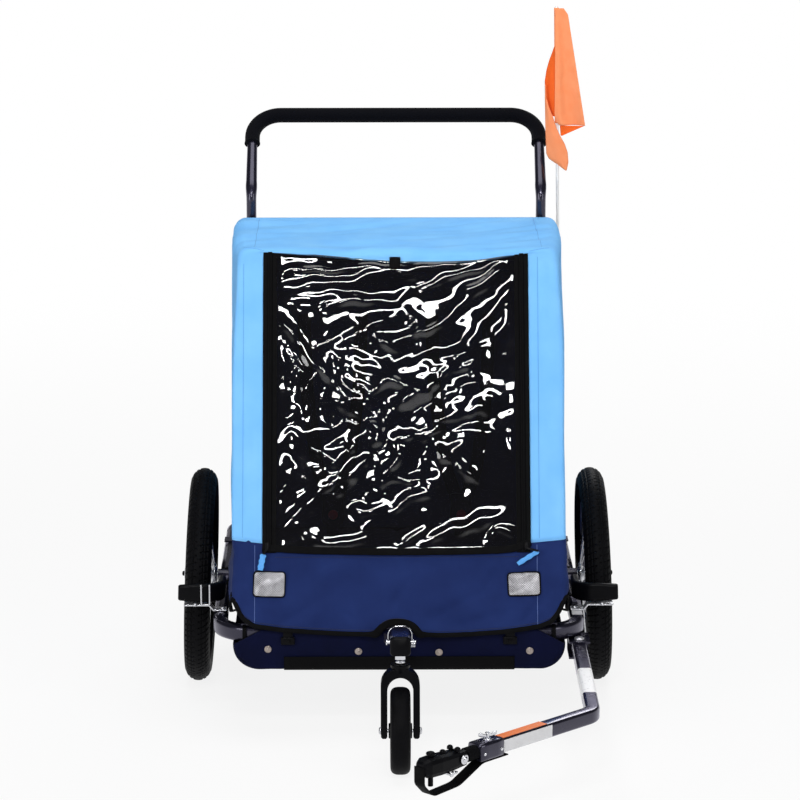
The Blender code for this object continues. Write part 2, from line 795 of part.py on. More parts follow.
def hoop_brackets():
    """A foot on the rail and an upright ear with a riveted pin, on which a hoop's leg turns."""
    for side, sign in both_sides():
        hinge_bracket(
            f"rear_bracket_{side}",
            sign,
            (REAR_HOOP_X, REAR_HOOP_Y, REAR_PIVOT_Z),
            RAIL_HALF_SPAN + RAIL_WIDTH / 2,
            0.016,
        )
        hinge_bracket(
            f"front_bracket_{side}",
            sign,
            (FRONT_HOOP_X, FRONT_PIVOT_Y, FRONT_PIVOT_Z),
            FRONT_HOOP_X + HOOP_R,
            0.013,
        )


def hinge_bracket(name, sign, pivot, foot_out_x, half_depth):
    """sign is the side. The ear stands inside the leg, and the pin ends in a head outside it."""
    x, y, z = pivot
    ear_out = x - HOOP_R - 0.0006
    ear_in = ear_out - BRACKET_THICKNESS
    foot_z = RAIL_TOP_Z + SEAT_GAP
    outline = [(y - half_depth, foot_z), (y + half_depth, foot_z)]
    outline += arc((y, z), half_depth - 0.002, 0, 180, 8)
    place = Matrix(((0, 0, sign, sign * ear_in), (1, 0, 0, 0), (0, 1, 0, 0), (0, 0, 0, 1)))
    bracket = add(name, prism(outline, BRACKET_THICKNESS, place), dark_paint(name))
    ends = sorted((sign * ear_in, sign * foot_out_x))
    foot = block((ends[0], y - half_depth, foot_z), (ends[1], y + half_depth, foot_z + BRACKET_THICKNESS))
    combine(bracket, add(f"{name}_foot", foot, None), "UNION")
    tip = x + HOOP_R + 0.0004
    pin = rod((sign * (ear_in + 0.001), y, z), (sign * tip, y, z), HINGE_PIN_R, 12)
    combine(bracket, add(f"{name}_pin", pin, None), "UNION")


def bar_path(start_down=None):
    """Centre line of the push bar from one hinge eye to the other. start_down cuts it to the grip's reach."""
    x = BAR_HALF_WIDTH
    corners = [
        Vector((-x, BAR_PIVOT_Y, BAR_PIVOT_Z - 0.013)),
        Vector((-x, BAR_PIVOT_Y, BAR_BEND_Z)),
        Vector((-x, BAR_TOP_Y, BAR_TOP_Z)),
        Vector((x, BAR_TOP_Y, BAR_TOP_Z)),
        Vector((x, BAR_PIVOT_Y, BAR_BEND_Z)),
        Vector((x, BAR_PIVOT_Y, BAR_PIVOT_Z - 0.013)),
    ]
    if start_down is None:
        return rounded_path(corners, [0.05, BAR_CORNER_R, BAR_CORNER_R, 0.05], 5)
    lean = (corners[1] - corners[2]).normalized() * start_down
    cut = [corners[2] + lean, corners[2], corners[3], corners[3] + lean]
    return rounded_path(cut, [BAR_CORNER_R, BAR_CORNER_R], 5)


def push_bar():
    pivot = (0, BAR_PIVOT_Y, BAR_PIVOT_Z)
    plane = Vector((0, BAR_TOP_Y - BAR_PIVOT_Y, BAR_TOP_Z - BAR_BEND_Z)).cross(Vector((1, 0, 0)))
    tube = sweep(bar_path(), circle(BAR_R, 10), side=plane)
    bar = add("push_bar", tube, dark_paint("push_bar"), origin=pivot)
    reach = BAR_HALF_WIDTH + 0.03
    hole = rod((-reach, *pivot[1:]), (reach, *pivot[1:]), HINGE_PIN_R + PIN_PLAY, 12)
    combine(bar, add("push_bar_pin_hole", hole, None), "DIFFERENCE")
    grip = sweep(
        bar_path(GRIP_DOWN),
        circle(GRIP_R, 10),
        side=plane,
        wall_section=circle(BAR_R + SEAT_GAP, 10),
    )
    add("push_bar_grip", grip, material("push_bar_grip", (0.006, 0.006, 0.007), 0.9), origin=pivot)


COVER_UP = Vector((0, ROOF_FRONT_Y - HEM_Y, ROOF_FRONT_Z - HEM_Z)).normalized()
COVER_OUT = Vector((0, -COVER_UP.z, COVER_UP.y))


def on_cover(lift=0.0):
    """A frame on the cover's sloping front: u across, v up the slope from the hem, w into the cabin."""
    start = Vector((0, HEM_Y, HEM_Z)) + COVER_OUT * lift
    rows = [(1, 0, 0), COVER_UP, -COVER_OUT]
    turn = Matrix([[row[i] for row in rows] for i in range(3)]).to_4x4()
    return Matrix.Translation(start) @ turn


def up_slope(z):
    return (z - HEM_Z) / COVER_UP.z


def front_y(z):
    return HEM_Y + (ROOF_FRONT_Y - HEM_Y) * (z - HEM_Z) / (ROOF_FRONT_Z - HEM_Z)


def rear_y(z):
    """The cover's rear outline: upright behind the posts, then sloping out over the boot."""
    if z >= BOOT_TOP_Z:
        return REAR_FACE_Y
    if z <= BOOT_FOLD_Z:
        return BOOT_REAR_Y
    share = (BOOT_TOP_Z - z) / (BOOT_TOP_Z - BOOT_FOLD_Z)
    return REAR_FACE_Y + (BOOT_REAR_Y - REAR_FACE_Y) * share


def half_width(y, z):
    front = front_y(z)
    share = min(1.0, max(0.0, (y - front) / (REAR_FACE_Y - front)))
    rise = (z - SIDE_BOTTOM_Z) / (ROOF_FRONT_Z - SIDE_BOTTOM_Z)
    bulge = SIDE_BULGE * math.sin(math.pi * share) * math.sin(math.pi * min(1.0, max(0.0, rise)))
    return COVER_HALF_FRONT + (COVER_HALF_REAR - COVER_HALF_FRONT) * share + bulge


def side_panels():
    heights = [SIDE_BOTTOM_Z, BOOT_FOLD_Z, 0.475, BOOT_TOP_Z, 0.720, None]
    for side, sign in both_sides():
        rows = []
        for z in heights:
            row = []
            for i in range(9):
                low = z if z is not None else ROOF_FRONT_Z - 0.003
                front = front_y(low) + CLOTH / COVER_UP.z + SEAT_GAP
                y = front + (rear_y(low) - front) * i / 8
                height = z if z is not None else roof_z(y) - ROOF_CLOTH - SEAT_GAP
                row.append((sign * half_width(y, low), y, height))
            rows.append(row if sign > 0 else row[::-1])
        name = f"side_panel_{side}"
        add(name, sheet(rows, CLOTH), light_blue_cloth(name))


def roof():
    """The roof cloth, with the two light strips beside the window sewn to it."""
    high = roof_z(REAR_FACE_Y)
    rows = []
    for y, z in ((ROOF_FRONT_Y, ROOF_FRONT_Z), (REAR_FACE_Y, high)):
        wide = half_width(y, ROOF_FRONT_Z)
        rows.append([(wide * (i / 4 - 1), y, z) for i in range(9)])
    cloth = add("roof", sheet(rows, -ROOF_CLOTH), light_blue_cloth("roof"))
    for side, sign in both_sides():
        low = up_slope(APRON_TOP_Z) + SEAT_GAP
        top = up_slope(ROOF_FRONT_Z) - 0.0002
        outline = [
            (sign * (WINDOW_HALF_WIDTH + SEAT_GAP), low),
            (sign * COVER_HALF_FRONT, low),
            (sign * COVER_HALF_FRONT, top),
            (sign * (WINDOW_HALF_WIDTH + SEAT_GAP), top),
        ]
        strip = prism(outline, CLOTH, on_cover())
        combine(cloth, add(f"front_strip_{side}", strip, None), "UNION")


def window():
    """A black zip-on frame round a clear pane."""
    wide = WINDOW_HALF_WIDTH
    low, high = up_slope(WINDOW_BOTTOM_Z), up_slope(WINDOW_TOP_Z)
    outline = [(-wide, low), (wide, low), (wide, high), (-wide, high)]
    look = material("window_band", (0.003, 0.003, 0.004), 0.8)
    band = add("window_band", prism(outline, CLOTH, on_cover()), look)
    inner_x = wide - WINDOW_BAND
    low, high = low + WINDOW_EDGE, high - WINDOW_EDGE
    opening = [(-inner_x, low), (inner_x, low), (inner_x, high), (-inner_x, high)]
    hole = prism(opening, 3 * CLOTH, on_cover(CLOTH))
    combine(band, add("window_hole", hole, None), "DIFFERENCE")
    inner_x, low, high = inner_x - SEAT_GAP, low + SEAT_GAP, high - SEAT_GAP
    pane = prism(
        [(-inner_x, low), (inner_x, low), (inner_x, high), (-inner_x, high)],
        PANE,
        on_cover(-CLOTH / 2),
    )
    add("window_pane", pane, material("window_pane", (0.02, 0.03, 0.05), 0.08))


def apron():
    """The navy lower front, with an arch in its hem over the caster's arm and rounded lower corners."""
    top = up_slope(APRON_TOP_Z)
    notch = up_slope(WINDOW_BOTTOM_Z) - SEAT_GAP
    wide = COVER_HALF_FRONT
    inner = WINDOW_HALF_WIDTH + SEAT_GAP
    hem = [(-wide, 0.045), (-wide + 0.006, 0.018), (-wide + 0.030, 0.004), (-0.09, 0.0)]
    swell = [
        (-ARCH_HALF_WIDTH * math.cos(math.pi * i / 8), ARCH_RISE * math.sin(math.pi * i / 8) ** 1.5)
        for i in range(9)
    ]
    hem += swell + [(-x, v) for x, v in reversed(hem)]
    outline = hem + [(wide, top), (inner, top), (inner, notch), (-inner, notch), (-inner, top), (-wide, top)]
    add("apron", prism(outline, CLOTH, on_cover()), navy_cloth("apron"))


def front_trim():
    """Reflective patches and the two zip pulls, each lying on the cover."""
    v = up_slope(PATCH_Z)
    for side, sign in both_sides():
        u = sign * PATCH_X
        wide, high = PATCH_WIDTH / 2, PATCH_HEIGHT / 2
        corners = [(u - wide, v - high), (u + wide, v - high), (u + wide, v + high), (u - wide, v + high)]
        name = f"reflector_{side}"
        place = on_cover(SEAT_GAP + PATCH_THICKNESS)
        add(name, prism(corners, PATCH_THICKNESS, place), material(name, (0.38, 0.38, 0.40), 0.35, 0.3))
        zip_pull(side, sign)


def zip_pull(side, sign):
    """The slider on the zip's lower end, with its cord pull hanging from it."""
    u = sign * (WINDOW_HALF_WIDTH - 0.004)
    v = up_slope(WINDOW_BOTTOM_Z) + 0.012
    outline = [
        (u - 0.0035, v - 0.034),
        (u + 0.0035, v - 0.034),
        (u + 0.0030, v - 0.006),
        (u + 0.0050, v),
        (u + 0.0040, v + 0.010),
        (u - 0.0040, v + 0.010),
        (u - 0.0050, v),
        (u - 0.0030, v - 0.006),
    ]
    name = f"zip_pull_{side}"
    add(name, prism(outline, 0.003, on_cover(SEAT_GAP + 0.003)), light_blue_cloth(name))


def rear_panel():
    wide = COVER_HALF_REAR - CLOTH - SEAT_GAP
    profile = [
        (REAR_FACE_Y, roof_z(REAR_FACE_Y) - ROOF_CLOTH - SEAT_GAP),
        (REAR_FACE_Y, BOOT_TOP_Z),
        (BOOT_REAR_Y, BOOT_FOLD_Z),
        (BOOT_REAR_Y, SIDE_BOTTOM_Z),
    ]
    rows = [[(wide * (1 - i / 3), y, z) for i in range(7)] for y, z in profile]
    panel = add("rear_panel", sheet(rows, -CLOTH), navy_cloth("rear_panel"))
    for side, sign in both_sides():
        ends = sorted((sign * (LUG_IN_X - 0.001), sign * (LUG_OUT_X + 0.001)))
        slit = block(
            (ends[0], REAR_HOOP_Y, BAR_PIVOT_Z - 0.016),
            (ends[1], REAR_FACE_Y + 0.01, BAR_PIVOT_Z + 0.016),
        )
        combine(panel, add(f"lug_slit_{side}", slit, None), "DIFFERENCE")


def tub_outline(half, bottom, top, radius):
    left = arc((-half + radius, bottom + radius), radius, 180, 270, 5)
    right = arc((half - radius, bottom + radius), radius, 270, 360, 5)
    return [(-half, top)] + left + right + [(half, top)]


def floor_tub():
    """The hanging footwell, its front wall up to the rail, and the flat deck behind it."""
    rim = RAIL_BOTTOM_Z - SEAT_GAP
    place = Matrix(((1, 0, 0, 0), (0, 0, 1, TUB_FRONT_Y), (0, 1, 0, 0), (0, 0, 0, 1)))
    depth = TUB_STEP_Y - TUB_FRONT_Y
    outline = tub_outline(TUB_HALF_WIDTH, TUB_BOTTOM_Z, rim, TUB_CORNER_R)
    tub = add("floor_tub", prism(outline, depth, place), navy_cloth("floor_tub"))
    wall = TUB_CLOTH
    outline = tub_outline(TUB_HALF_WIDTH - wall, TUB_BOTTOM_Z + wall, rim + 0.01, TUB_CORNER_R - wall)
    inside = Matrix.Translation((0, wall, 0)) @ place
    combine(tub, add("tub_inside", prism(outline, depth - 2 * wall, inside), None), "DIFFERENCE")
    half = TUB_HALF_WIDTH - FRONT_CORNER_R + 0.02
    lip_back = FRONT_RAIL_Y - RAIL_WIDTH / 2 - SEAT_GAP
    for side, sign in both_sides():
        ends = sorted((sign * 0.030, sign * half))
        lip = block((ends[0], TUB_FRONT_Y, rim - 0.01), (ends[1], lip_back, RAIL_TOP_Z - 0.002))
        combine(tub, add(f"tub_lip_{side}", lip, None), "UNION")
    deck_rear = REAR_RAIL_Y + 0.004
    deck = block((-TUB_HALF_WIDTH, TUB_STEP_Y - wall, rim - wall), (TUB_HALF_WIDTH, deck_rear, rim))
    combine(tub, add("tub_deck", deck, None), "UNION")


def tub_strip():
    """Black reinforcement folded round the tub's front lower edge."""
    half = TUB_HALF_WIDTH - STRIP_INSET
    gap = SEAT_GAP
    outline = [
        (TUB_FRONT_Y - gap - STRIP_THICKNESS, TUB_BOTTOM_Z + STRIP_FACE),
        (TUB_FRONT_Y - gap - STRIP_THICKNESS, TUB_BOTTOM_Z - gap - STRIP_THICKNESS),
        (TUB_FRONT_Y + STRIP_UNDER, TUB_BOTTOM_Z - gap - STRIP_THICKNESS),
        (TUB_FRONT_Y + STRIP_UNDER, TUB_BOTTOM_Z - gap),
        (TUB_FRONT_Y - gap, TUB_BOTTOM_Z - gap),
        (TUB_FRONT_Y - gap, TUB_BOTTOM_Z + STRIP_FACE),
    ]
    place = Matrix(((0, 0, 1, -half), (1, 0, 0, 0), (0, 1, 0, 0), (0, 0, 0, 1)))
    add("tub_strip", prism(outline, 2 * half, place), black_plastic("tub_strip"))


SEAT_TOP_Z = RAIL_TOP_Z + SEAT_GAP + SEAT_THICKNESS


def seatback_y(z):
    """Front face of the seatback sling, leaning back from the seat to the posts."""
    share = (z - SEAT_TOP_Z) / (SEATBACK_TOP_Z - SEAT_TOP_Z)
    return SEAT_REAR_Y - SEATBACK_SETBACK + SEATBACK_LEAN * share


def seat():
    bottom = RAIL_TOP_Z + SEAT_GAP
    cushion = block(
        (-SEAT_HALF_WIDTH, SEAT_FRONT_Y, bottom),
        (SEAT_HALF_WIDTH, SEAT_REAR_Y, SEAT_TOP_Z),
        0.012,
        3,
    )
    add("seat_base", cushion, navy_cloth("seat_base"))
    lean = seatback_y(SEATBACK_TOP_Z) - seatback_y(SEAT_TOP_Z)
    drop = SEATBACK_THICKNESS * lean / math.hypot(lean, SEATBACK_TOP_Z - SEAT_TOP_Z)
    low = SEAT_TOP_Z + SEAT_GAP + drop
    wide = REAR_HOOP_X - HOOP_R - SEAT_GAP
    rows = []
    for i in range(6):
        z = low + (SEATBACK_TOP_Z - low) * i / 5
        rows.append([(wide * (j / 5 - 1), seatback_y(z), z) for j in range(11)])
    add("seat_back", sheet(rows, -SEATBACK_THICKNESS), navy_cloth("seat_back"))


def harnesses():
    """Two shoulder straps and a crotch strap meeting in a buckle, on each child's place."""
    for side, sign in both_sides():
        centre = sign * CHILD_X
        buckle_z = SEAT_TOP_Z + BUCKLE_RISE
        buckle_y = seatback_y(buckle_z) - BUCKLE_AHEAD
        name = f"harness_{side}"
        box = block(
            (centre - 0.022, buckle_y - 0.007, buckle_z - 0.030),
            (centre + 0.022, buckle_y + 0.007, buckle_z + 0.030),
            0.003,
            2,
        )
        harness = add(name, box, black_plastic(name))
        wide, half = WEBBING_HALF_WIDTH, WEBBING_HALF
        strap = [(wide, half), (-wide, half), (-wide, -half), (wide, -half)]
        for word, offset in (("inner", -HARNESS_SPREAD), ("outer", HARNESS_SPREAD)):
            top_z = HARNESS_TOP_Z
            points = [
                (centre + offset * 0.15, buckle_y, buckle_z + 0.022),
                (centre + offset * 0.75, seatback_y(0.42) - 0.012, 0.42),
                (centre + offset, seatback_y(0.52) - 0.003, 0.52),
                (centre + offset, seatback_y(top_z) - 0.0016, top_z),
            ]
            run = rounded_path(points, [0.05, 0.05], 3)
            shape = add(f"strap_{word}_{side}", sweep(run, strap, side=(1, 0, 0)), None)
            combine(harness, shape, "UNION")
        crotch = rounded_path(
            [
                (centre, buckle_y, buckle_z - 0.020),
                (centre, buckle_y - 0.010, SEAT_TOP_Z + 0.0018),
                (centre, buckle_y + 0.055, SEAT_TOP_Z + 0.0018),
            ],
            [0.012],
            4,
        )
        combine(harness, add(f"strap_crotch_{side}", sweep(crotch, strap, side=(1, 0, 0)), None), "UNION")


CASTER_ARM_START = Vector((0, FRONT_RAIL_Y - RAIL_WIDTH / 2 - SEAT_GAP - 0.004, CASTER_ARM_REAR_Z))
CASTER_ARM_END = Vector((0, CASTER_ARM_END_Y, CASTER_ARM_END_Z))


def caster_arm_point(y):
    share = (y - CASTER_ARM_START.y) / (CASTER_ARM_END.y - CASTER_ARM_START.y)
    return CASTER_ARM_START + (CASTER_ARM_END - CASTER_ARM_START) * share


def caster_arm():
    """A square tube pushed over a bar on the front rail, locked to it by a pin with a wire bail."""
    wall = CASTER_ARM_WALL
    size = rounded_rectangle(CASTER_ARM_HEIGHT, CASTER_ARM_WIDTH, 0.007)
    bore = rounded_rectangle(CASTER_ARM_HEIGHT - 2 * wall, CASTER_ARM_WIDTH - 2 * wall, 0.004)
    start = caster_arm_point(CASTER_ARM_START.y - 0.0045)
    arm = add(
        "caster_arm",
        sweep([start, CASTER_ARM_END], size, wall_section=bore),
        dark_paint("caster_arm"),
    )
    middle = caster_arm_point(SWIVEL_Y)
    low = Vector((0, SWIVEL_Y, middle.z - CASTER_ARM_HEIGHT / 2 + 0.001))
    high = Vector((0, SWIVEL_Y, middle.z + CASTER_ARM_HEIGHT / 2 - 0.0012))
    combine(arm, add("swivel_boss", rod(low, high, STEERER_R + 0.0032, 20), None), "UNION")
    hole = rod(low - Vector((0, 0, 0.02)), high - Vector((0, 0, 0.003)), STEERER_R + PIN_PLAY, 20)
    combine(arm, add("swivel_bore", hole, None), "DIFFERENCE")
    pin_at = caster_arm_point(LOCK_PIN_Y)
    hole = rod((-0.04, pin_at.y, pin_at.z), (0.04, pin_at.y, pin_at.z), LOCK_PIN_R + PIN_PLAY, 12)
    cross = add("lock_pin_hole", hole, None)
    combine(arm, cross, "DIFFERENCE")
    caster_receiver(cross)
    along = (CASTER_ARM_END - CASTER_ARM_START).normalized()
    cap_path = [CASTER_ARM_END + along * d for d in (SEAT_GAP, 0.002, 0.005, 0.0065)]
    cap = sweep(cap_path, size, scales=[1.0, 1.0, 0.93, 0.78])
    add("caster_arm_cap", cap, black_plastic("caster_arm_cap"))


def caster_receiver(cross):
    """A flange on the front rail with a bar that fills the caster arm's rear half."""
    wall = CASTER_ARM_WALL + SEAT_GAP
    section = rounded_rectangle(CASTER_ARM_HEIGHT - 2 * wall, CASTER_ARM_WIDTH - 2 * wall, 0.0037)
    tip = caster_arm_point(SWIVEL_Y + STEERER_R + 0.008)
    bar = sweep([CASTER_ARM_START, tip], section)
    receiver = add("caster_receiver", bar, dark_paint("caster_receiver"))
    face_y = FRONT_RAIL_Y - RAIL_WIDTH / 2 - SEAT_GAP
    low = (-0.028, face_y - 0.0045, RAIL_BOTTOM_Z + 0.001)
    flange = block(low, (0.028, face_y, RAIL_TOP_Z + 0.002), 0.001, 1)
    combine(receiver, add("receiver_flange", flange, None), "UNION")
    combine(receiver, cross, "DIFFERENCE")


def lock_pin():
    """The pin across the caster arm, with its wire bail standing over the tube."""
    at = caster_arm_point(LOCK_PIN_Y)
    half = CASTER_ARM_WIDTH / 2
    body = rod((-half - 0.004, at.y, at.z), (half + 0.003, at.y, at.z), LOCK_PIN_R, 12)
    pin = add("caster_lock_pin", body, zinc("caster_lock_pin"), origin=at)
    x = half + 0.0025
    rise = 0.030
    corners = [(-x, at.y, at.z), (-x, at.y, at.z + rise), (x, at.y, at.z + rise), (x, at.y, at.z)]
    wire = sweep(rounded_path(corners, [0.017, 0.017], 5), circle(BAIL_R, 5), side=(0, 1, 0))
    combine(pin, add("bail_shape", wire, None), "UNION")


def fork_outline():
    """Front view of the fork, around X = 0: an arch with two straight legs with round ends."""
    wide = FORK_HALF_WIDTH
    leg = FORK_LEG
    axle = CASTER_R
    foot = axle - 0.013
    shoulder = 0.030
    inner = wide - leg
    spring = CROWN_TOP_Z - shoulder
    right_foot = arc((wide - leg / 2, foot), leg / 2, 0, -180, 5)
    outline = arc((wide - shoulder, spring), shoulder, 90, 0, 5) + right_foot
    arch = arc((0, spring - 0.008), inner, 0, 180, 10)
    left = [(-x, z) for x, z in reversed(arc((wide - shoulder, spring), shoulder, 90, 0, 5) + right_foot)]
    return outline + arch + left


def caster():
    axle_y = SWIVEL_Y - CASTER_TRAIL
    centre = Vector((0, axle_y, CASTER_R))
    pivot = (0, SWIVEL_Y, 0)
    place = Matrix(((1, 0, 0, 0), (0, 0, 1, SWIVEL_Y - FORK_DEPTH / 2), (0, 1, 0, 0), (0, 0, 0, 1)))
    legs = prism(fork_outline(), FORK_DEPTH, place)
    for corner in legs.verts:
        share = (CROWN_TOP_Z - corner.co.z) / (CROWN_TOP_Z - CASTER_R)
        corner.co.y -= CASTER_TRAIL * max(0.0, share)
    fork = add("caster_fork", legs, black_plastic("caster_fork"), origin=pivot)
    top = caster_arm_point(SWIVEL_Y).z + CASTER_ARM_HEIGHT / 2 - 0.0045
    stem = [
        (CROWN_TOP_Z - 0.006, 0),
        (CROWN_TOP_Z - 0.006, COLLAR_R - 0.002),
        (CROWN_TOP_Z + 0.002, COLLAR_R),
        (COLLAR_TOP_Z - 0.002, COLLAR_R),
        (COLLAR_TOP_Z, COLLAR_R - 0.003),
        (COLLAR_TOP_Z, STEERER_R),
        (top, STEERER_R),
        (top, 0),
    ]
    shape = turned(stem, 20, "Z", closed=False)
    bmesh.ops.translate(shape, verts=shape.verts, vec=(0, SWIVEL_Y, 0))
    combine(fork, add("steerer_shape", shape, None), "UNION")
    hole = rod((-0.06, axle_y, CASTER_R), (0.06, axle_y, CASTER_R), 0.004 + PIN_PLAY, 12)
    combine(fork, add("fork_axle_hole", hole, None), "DIFFERENCE")
    end = FORK_HALF_WIDTH + SEAT_GAP
    bolt = [(-end - 0.005, 0), (-end - 0.005, 0.0065), (-end, 0.0065), (-end, 0.004)]
    bolt += [(end, 0.004), (end, 0.0065), (end + 0.004, 0.0065), (end + 0.004, 0)]
    spot = Matrix.Translation(centre)
    add("caster_axle", turned(bolt, 12, closed=False), zinc("caster_axle"), spot)
    half = CASTER_WIDTH / 2
    tread = [
        (-half, CASTER_R - 0.022),
        (-half, CASTER_R - 0.008),
        (-half + 0.006, CASTER_R - 0.0015),
        (-0.005, CASTER_R),
        (0.005, CASTER_R),
        (half - 0.006, CASTER_R - 0.0015),
        (half, CASTER_R - 0.008),
        (half, CASTER_R - 0.022),
    ]
    tyre_look = material("caster_tyre", (0.006, 0.006, 0.007), 0.6)
    add("caster_tyre", turned(tread, 28), tyre_look, spot)
    bore = 0.004 + PIN_PLAY
    hub = [
        (-CASTER_HUB_HALF, bore),
        (-CASTER_HUB_HALF, 0.014),
        (-0.008, 0.018),
        (-0.008, CASTER_R - 0.032),
        (-0.014, CASTER_R - 0.028),
        (-0.014, CASTER_R - 0.022 - SEAT_GAP),
    ]
    hub += [(-x, r) for x, r in reversed(hub)]
    add("caster_hub", turned(hub, 28), black_plastic("caster_hub"), spot)


ARM_PIVOT = Vector((ARM_PIVOT_X, ARM_PIVOT_Y, ARM_Z))
ARM_CORNER = Vector((ARM_PIVOT_X, ARM_BEND_Y, ARM_Z))
ARM_AHEAD = Vector((-math.sin(ARM_BEND), -math.cos(ARM_BEND), 0))
ARM_END = ARM_CORNER + ARM_AHEAD * ARM_REACH


def hitch_arm():
    tail = Vector((ARM_PIVOT_X, ARM_PIVOT_Y + 0.020, ARM_Z))
    path = rounded_path([tail, ARM_CORNER, ARM_END], [ARM_BEND_R], 6)
    section = rounded_rectangle(ARM_SIZE, ARM_SIZE, ARM_EDGE)
    arm = add("hitch_arm", sweep(path, section), dark_paint("hitch_arm"), origin=ARM_PIVOT)
    hole = rod(ARM_PIVOT - Vector((0, 0, 0.05)), ARM_PIVOT + Vector((0, 0, 0.05)), ARM_PIN_R + PIN_PLAY, 16)
    pin_hole = add("arm_pin_hole", hole, None)
    combine(arm, pin_hole, "DIFFERENCE")
    bracket(pin_hole)
    low = ARM_Z - ARM_SIZE / 2 - SEAT_GAP - BRACKET_THICKNESS
    bolt = [
        (low - SEAT_GAP - 0.006, 0),
        (low - SEAT_GAP - 0.006, 0.009),
        (low - SEAT_GAP, 0.009),
        (low - SEAT_GAP, ARM_PIN_R),
        (RAIL_BOTTOM_Z, ARM_PIN_R),
        (RAIL_BOTTOM_Z, 0.009),
        (RAIL_BOTTOM_Z + 0.007, 0.009),
        (RAIL_BOTTOM_Z + 0.007, 0),
    ]
    shape = turned(bolt, 16, "Z", closed=False)
    bmesh.ops.translate(shape, verts=shape.verts, vec=(ARM_PIVOT_X, ARM_PIVOT_Y, 0))
    add("hitch_pivot", shape, zinc("hitch_pivot"))


def bracket(pin_hole):
    """Two plates under the rail's front corner, joined behind the arm, that hold its pivot pin."""
    half = 0.019
    front = ARM_PIVOT_Y - 0.018
    web = ARM_PIVOT_Y + 0.046
    top = RAIL_BOTTOM_Z - SEAT_GAP
    low = ARM_Z - ARM_SIZE / 2 - SEAT_GAP
    thick = BRACKET_THICKNESS
    x = ARM_PIVOT_X
    plate = block((x - half, front, top - thick), (x + half, web, top))
    made = add("hitch_bracket", plate, dark_paint("hitch_bracket"))
    lower = block((x - half, front, low - thick), (x + half, web, low))
    combine(made, add("bracket_lower", lower, None), "UNION")
    back = block((x - half, web - thick, low - thick), (x + half, web, top))
    combine(made, add("bracket_web", back, None), "UNION")
    combine(made, pin_hole, "DIFFERENCE")


def coupler_place(distance):
    """A frame on the arm's axis ahead of its end: local X ahead, local Z up."""
    side = Vector((0, 0, 1)).cross(ARM_AHEAD)
    rows = [ARM_AHEAD, side, Vector((0, 0, 1))]
    turn = Matrix([[row[i] for row in rows] for i in range(3)]).to_4x4()
    return Matrix.Translation(ARM_END + ARM_AHEAD * distance) @ turn


def coupler():
    """Sleeve over the arm's end, rubber neck, and a hinged head that drops over the bike's hitch."""
    bore = rounded_rectangle(ARM_SIZE + 2 * SEAT_GAP, ARM_SIZE + 2 * SEAT_GAP, ARM_EDGE)
    outer = rounded_rectangle(SLEEVE_SIZE, SLEEVE_SIZE, 0.004)
    front = 0.028
    path = [(front - SLEEVE_LENGTH, 0, 0), (front, 0, 0)]
    place = coupler_place(0)
    sleeve = sweep(path, outer, wall_section=bore)
    add("coupler_sleeve", sleeve, dark_paint("coupler_sleeve"), place)
    end = front + NECK_LENGTH
    neck = [
        (SEAT_GAP, 0),
        (SEAT_GAP, ARM_SIZE / 2 - 0.0005),
        (front, ARM_SIZE / 2 - 0.0005),
        (front + 0.004, NECK_R),
        (end - 0.019, NECK_R),
        (end - 0.017, 0.008),
        (end - 0.017, 0),
    ]
    rubber = add("coupler_neck", turned(neck, 14, closed=False), black_plastic("coupler_neck"), place)
    tongue = block((end - 0.024, -0.006, -0.010), (end + 0.010, 0.006, 0.010), 0.003, 2)
    combine(rubber, add("neck_tongue", tongue, None, place), "UNION")
    hole = add("tongue_hole", rod((end, -0.03, 0), (end, 0.03, 0), 0.004 + PIN_PLAY, 12), None, place)
    combine(rubber, hole, "DIFFERENCE")
    coupler_head(end)


def coupler_head(pivot_at):
    place = coupler_place(pivot_at)
    half_w, half_h = HEAD_WIDTH / 2, HEAD_HEIGHT / 2
    tip = HEAD_LENGTH - 0.012
    path = [(x, 0, 0) for x in (-0.010, 0.018, 0.050, tip - 0.012, tip - 0.003, tip)]
    section = rounded_rectangle(HEAD_HEIGHT, HEAD_WIDTH, 0.009)
    body = sweep(path, section, scales=[0.80, 0.92, 1.0, 0.96, 0.72, 0.5])
    head = add("coupler_head", body, black_plastic("coupler_head"), place)
    slot = block((-0.03, -0.0075, -0.03), (0.014, 0.0075, 0.03))
    combine(head, add("head_slot", slot, None, place), "DIFFERENCE")
    bolt = rod((0, -half_w - 0.001, 0), (0, half_w + 0.001, 0), 0.004, 12)
    combine(head, add("head_bolt", bolt, None, place), "UNION")
    mouth = block((0.034, -0.009, -half_h - 0.01), (tip - 0.014, 0.009, 0.006))
    combine(head, add("head_mouth", mouth, None, place), "DIFFERENCE")
    reach = tip - 0.024
    hole = rod((reach, 0, -0.04), (reach, 0, 0.04), HITCH_PIN_R + PIN_PLAY, 12)
    combine(head, add("hitch_pin_hole", hole, None, place), "DIFFERENCE")
    top = half_h + SEAT_GAP
    pin = [
        (-half_h - 0.016, 0),
        (-half_h - 0.016, HITCH_PIN_R - 0.001),
        (-half_h - 0.014, HITCH_PIN_R),
        (top, HITCH_PIN_R),
        (top, 0.0075),
        (top + 0.006, 0.0075),
        (top + 0.008, 0.005),
        (top + 0.008, 0),
    ]
    spot = place @ Matrix.Translation((reach, 0, 0))
    add("hitch_pin", turned(pin, 12, "Z", closed=False), zinc("hitch_pin"), spot)


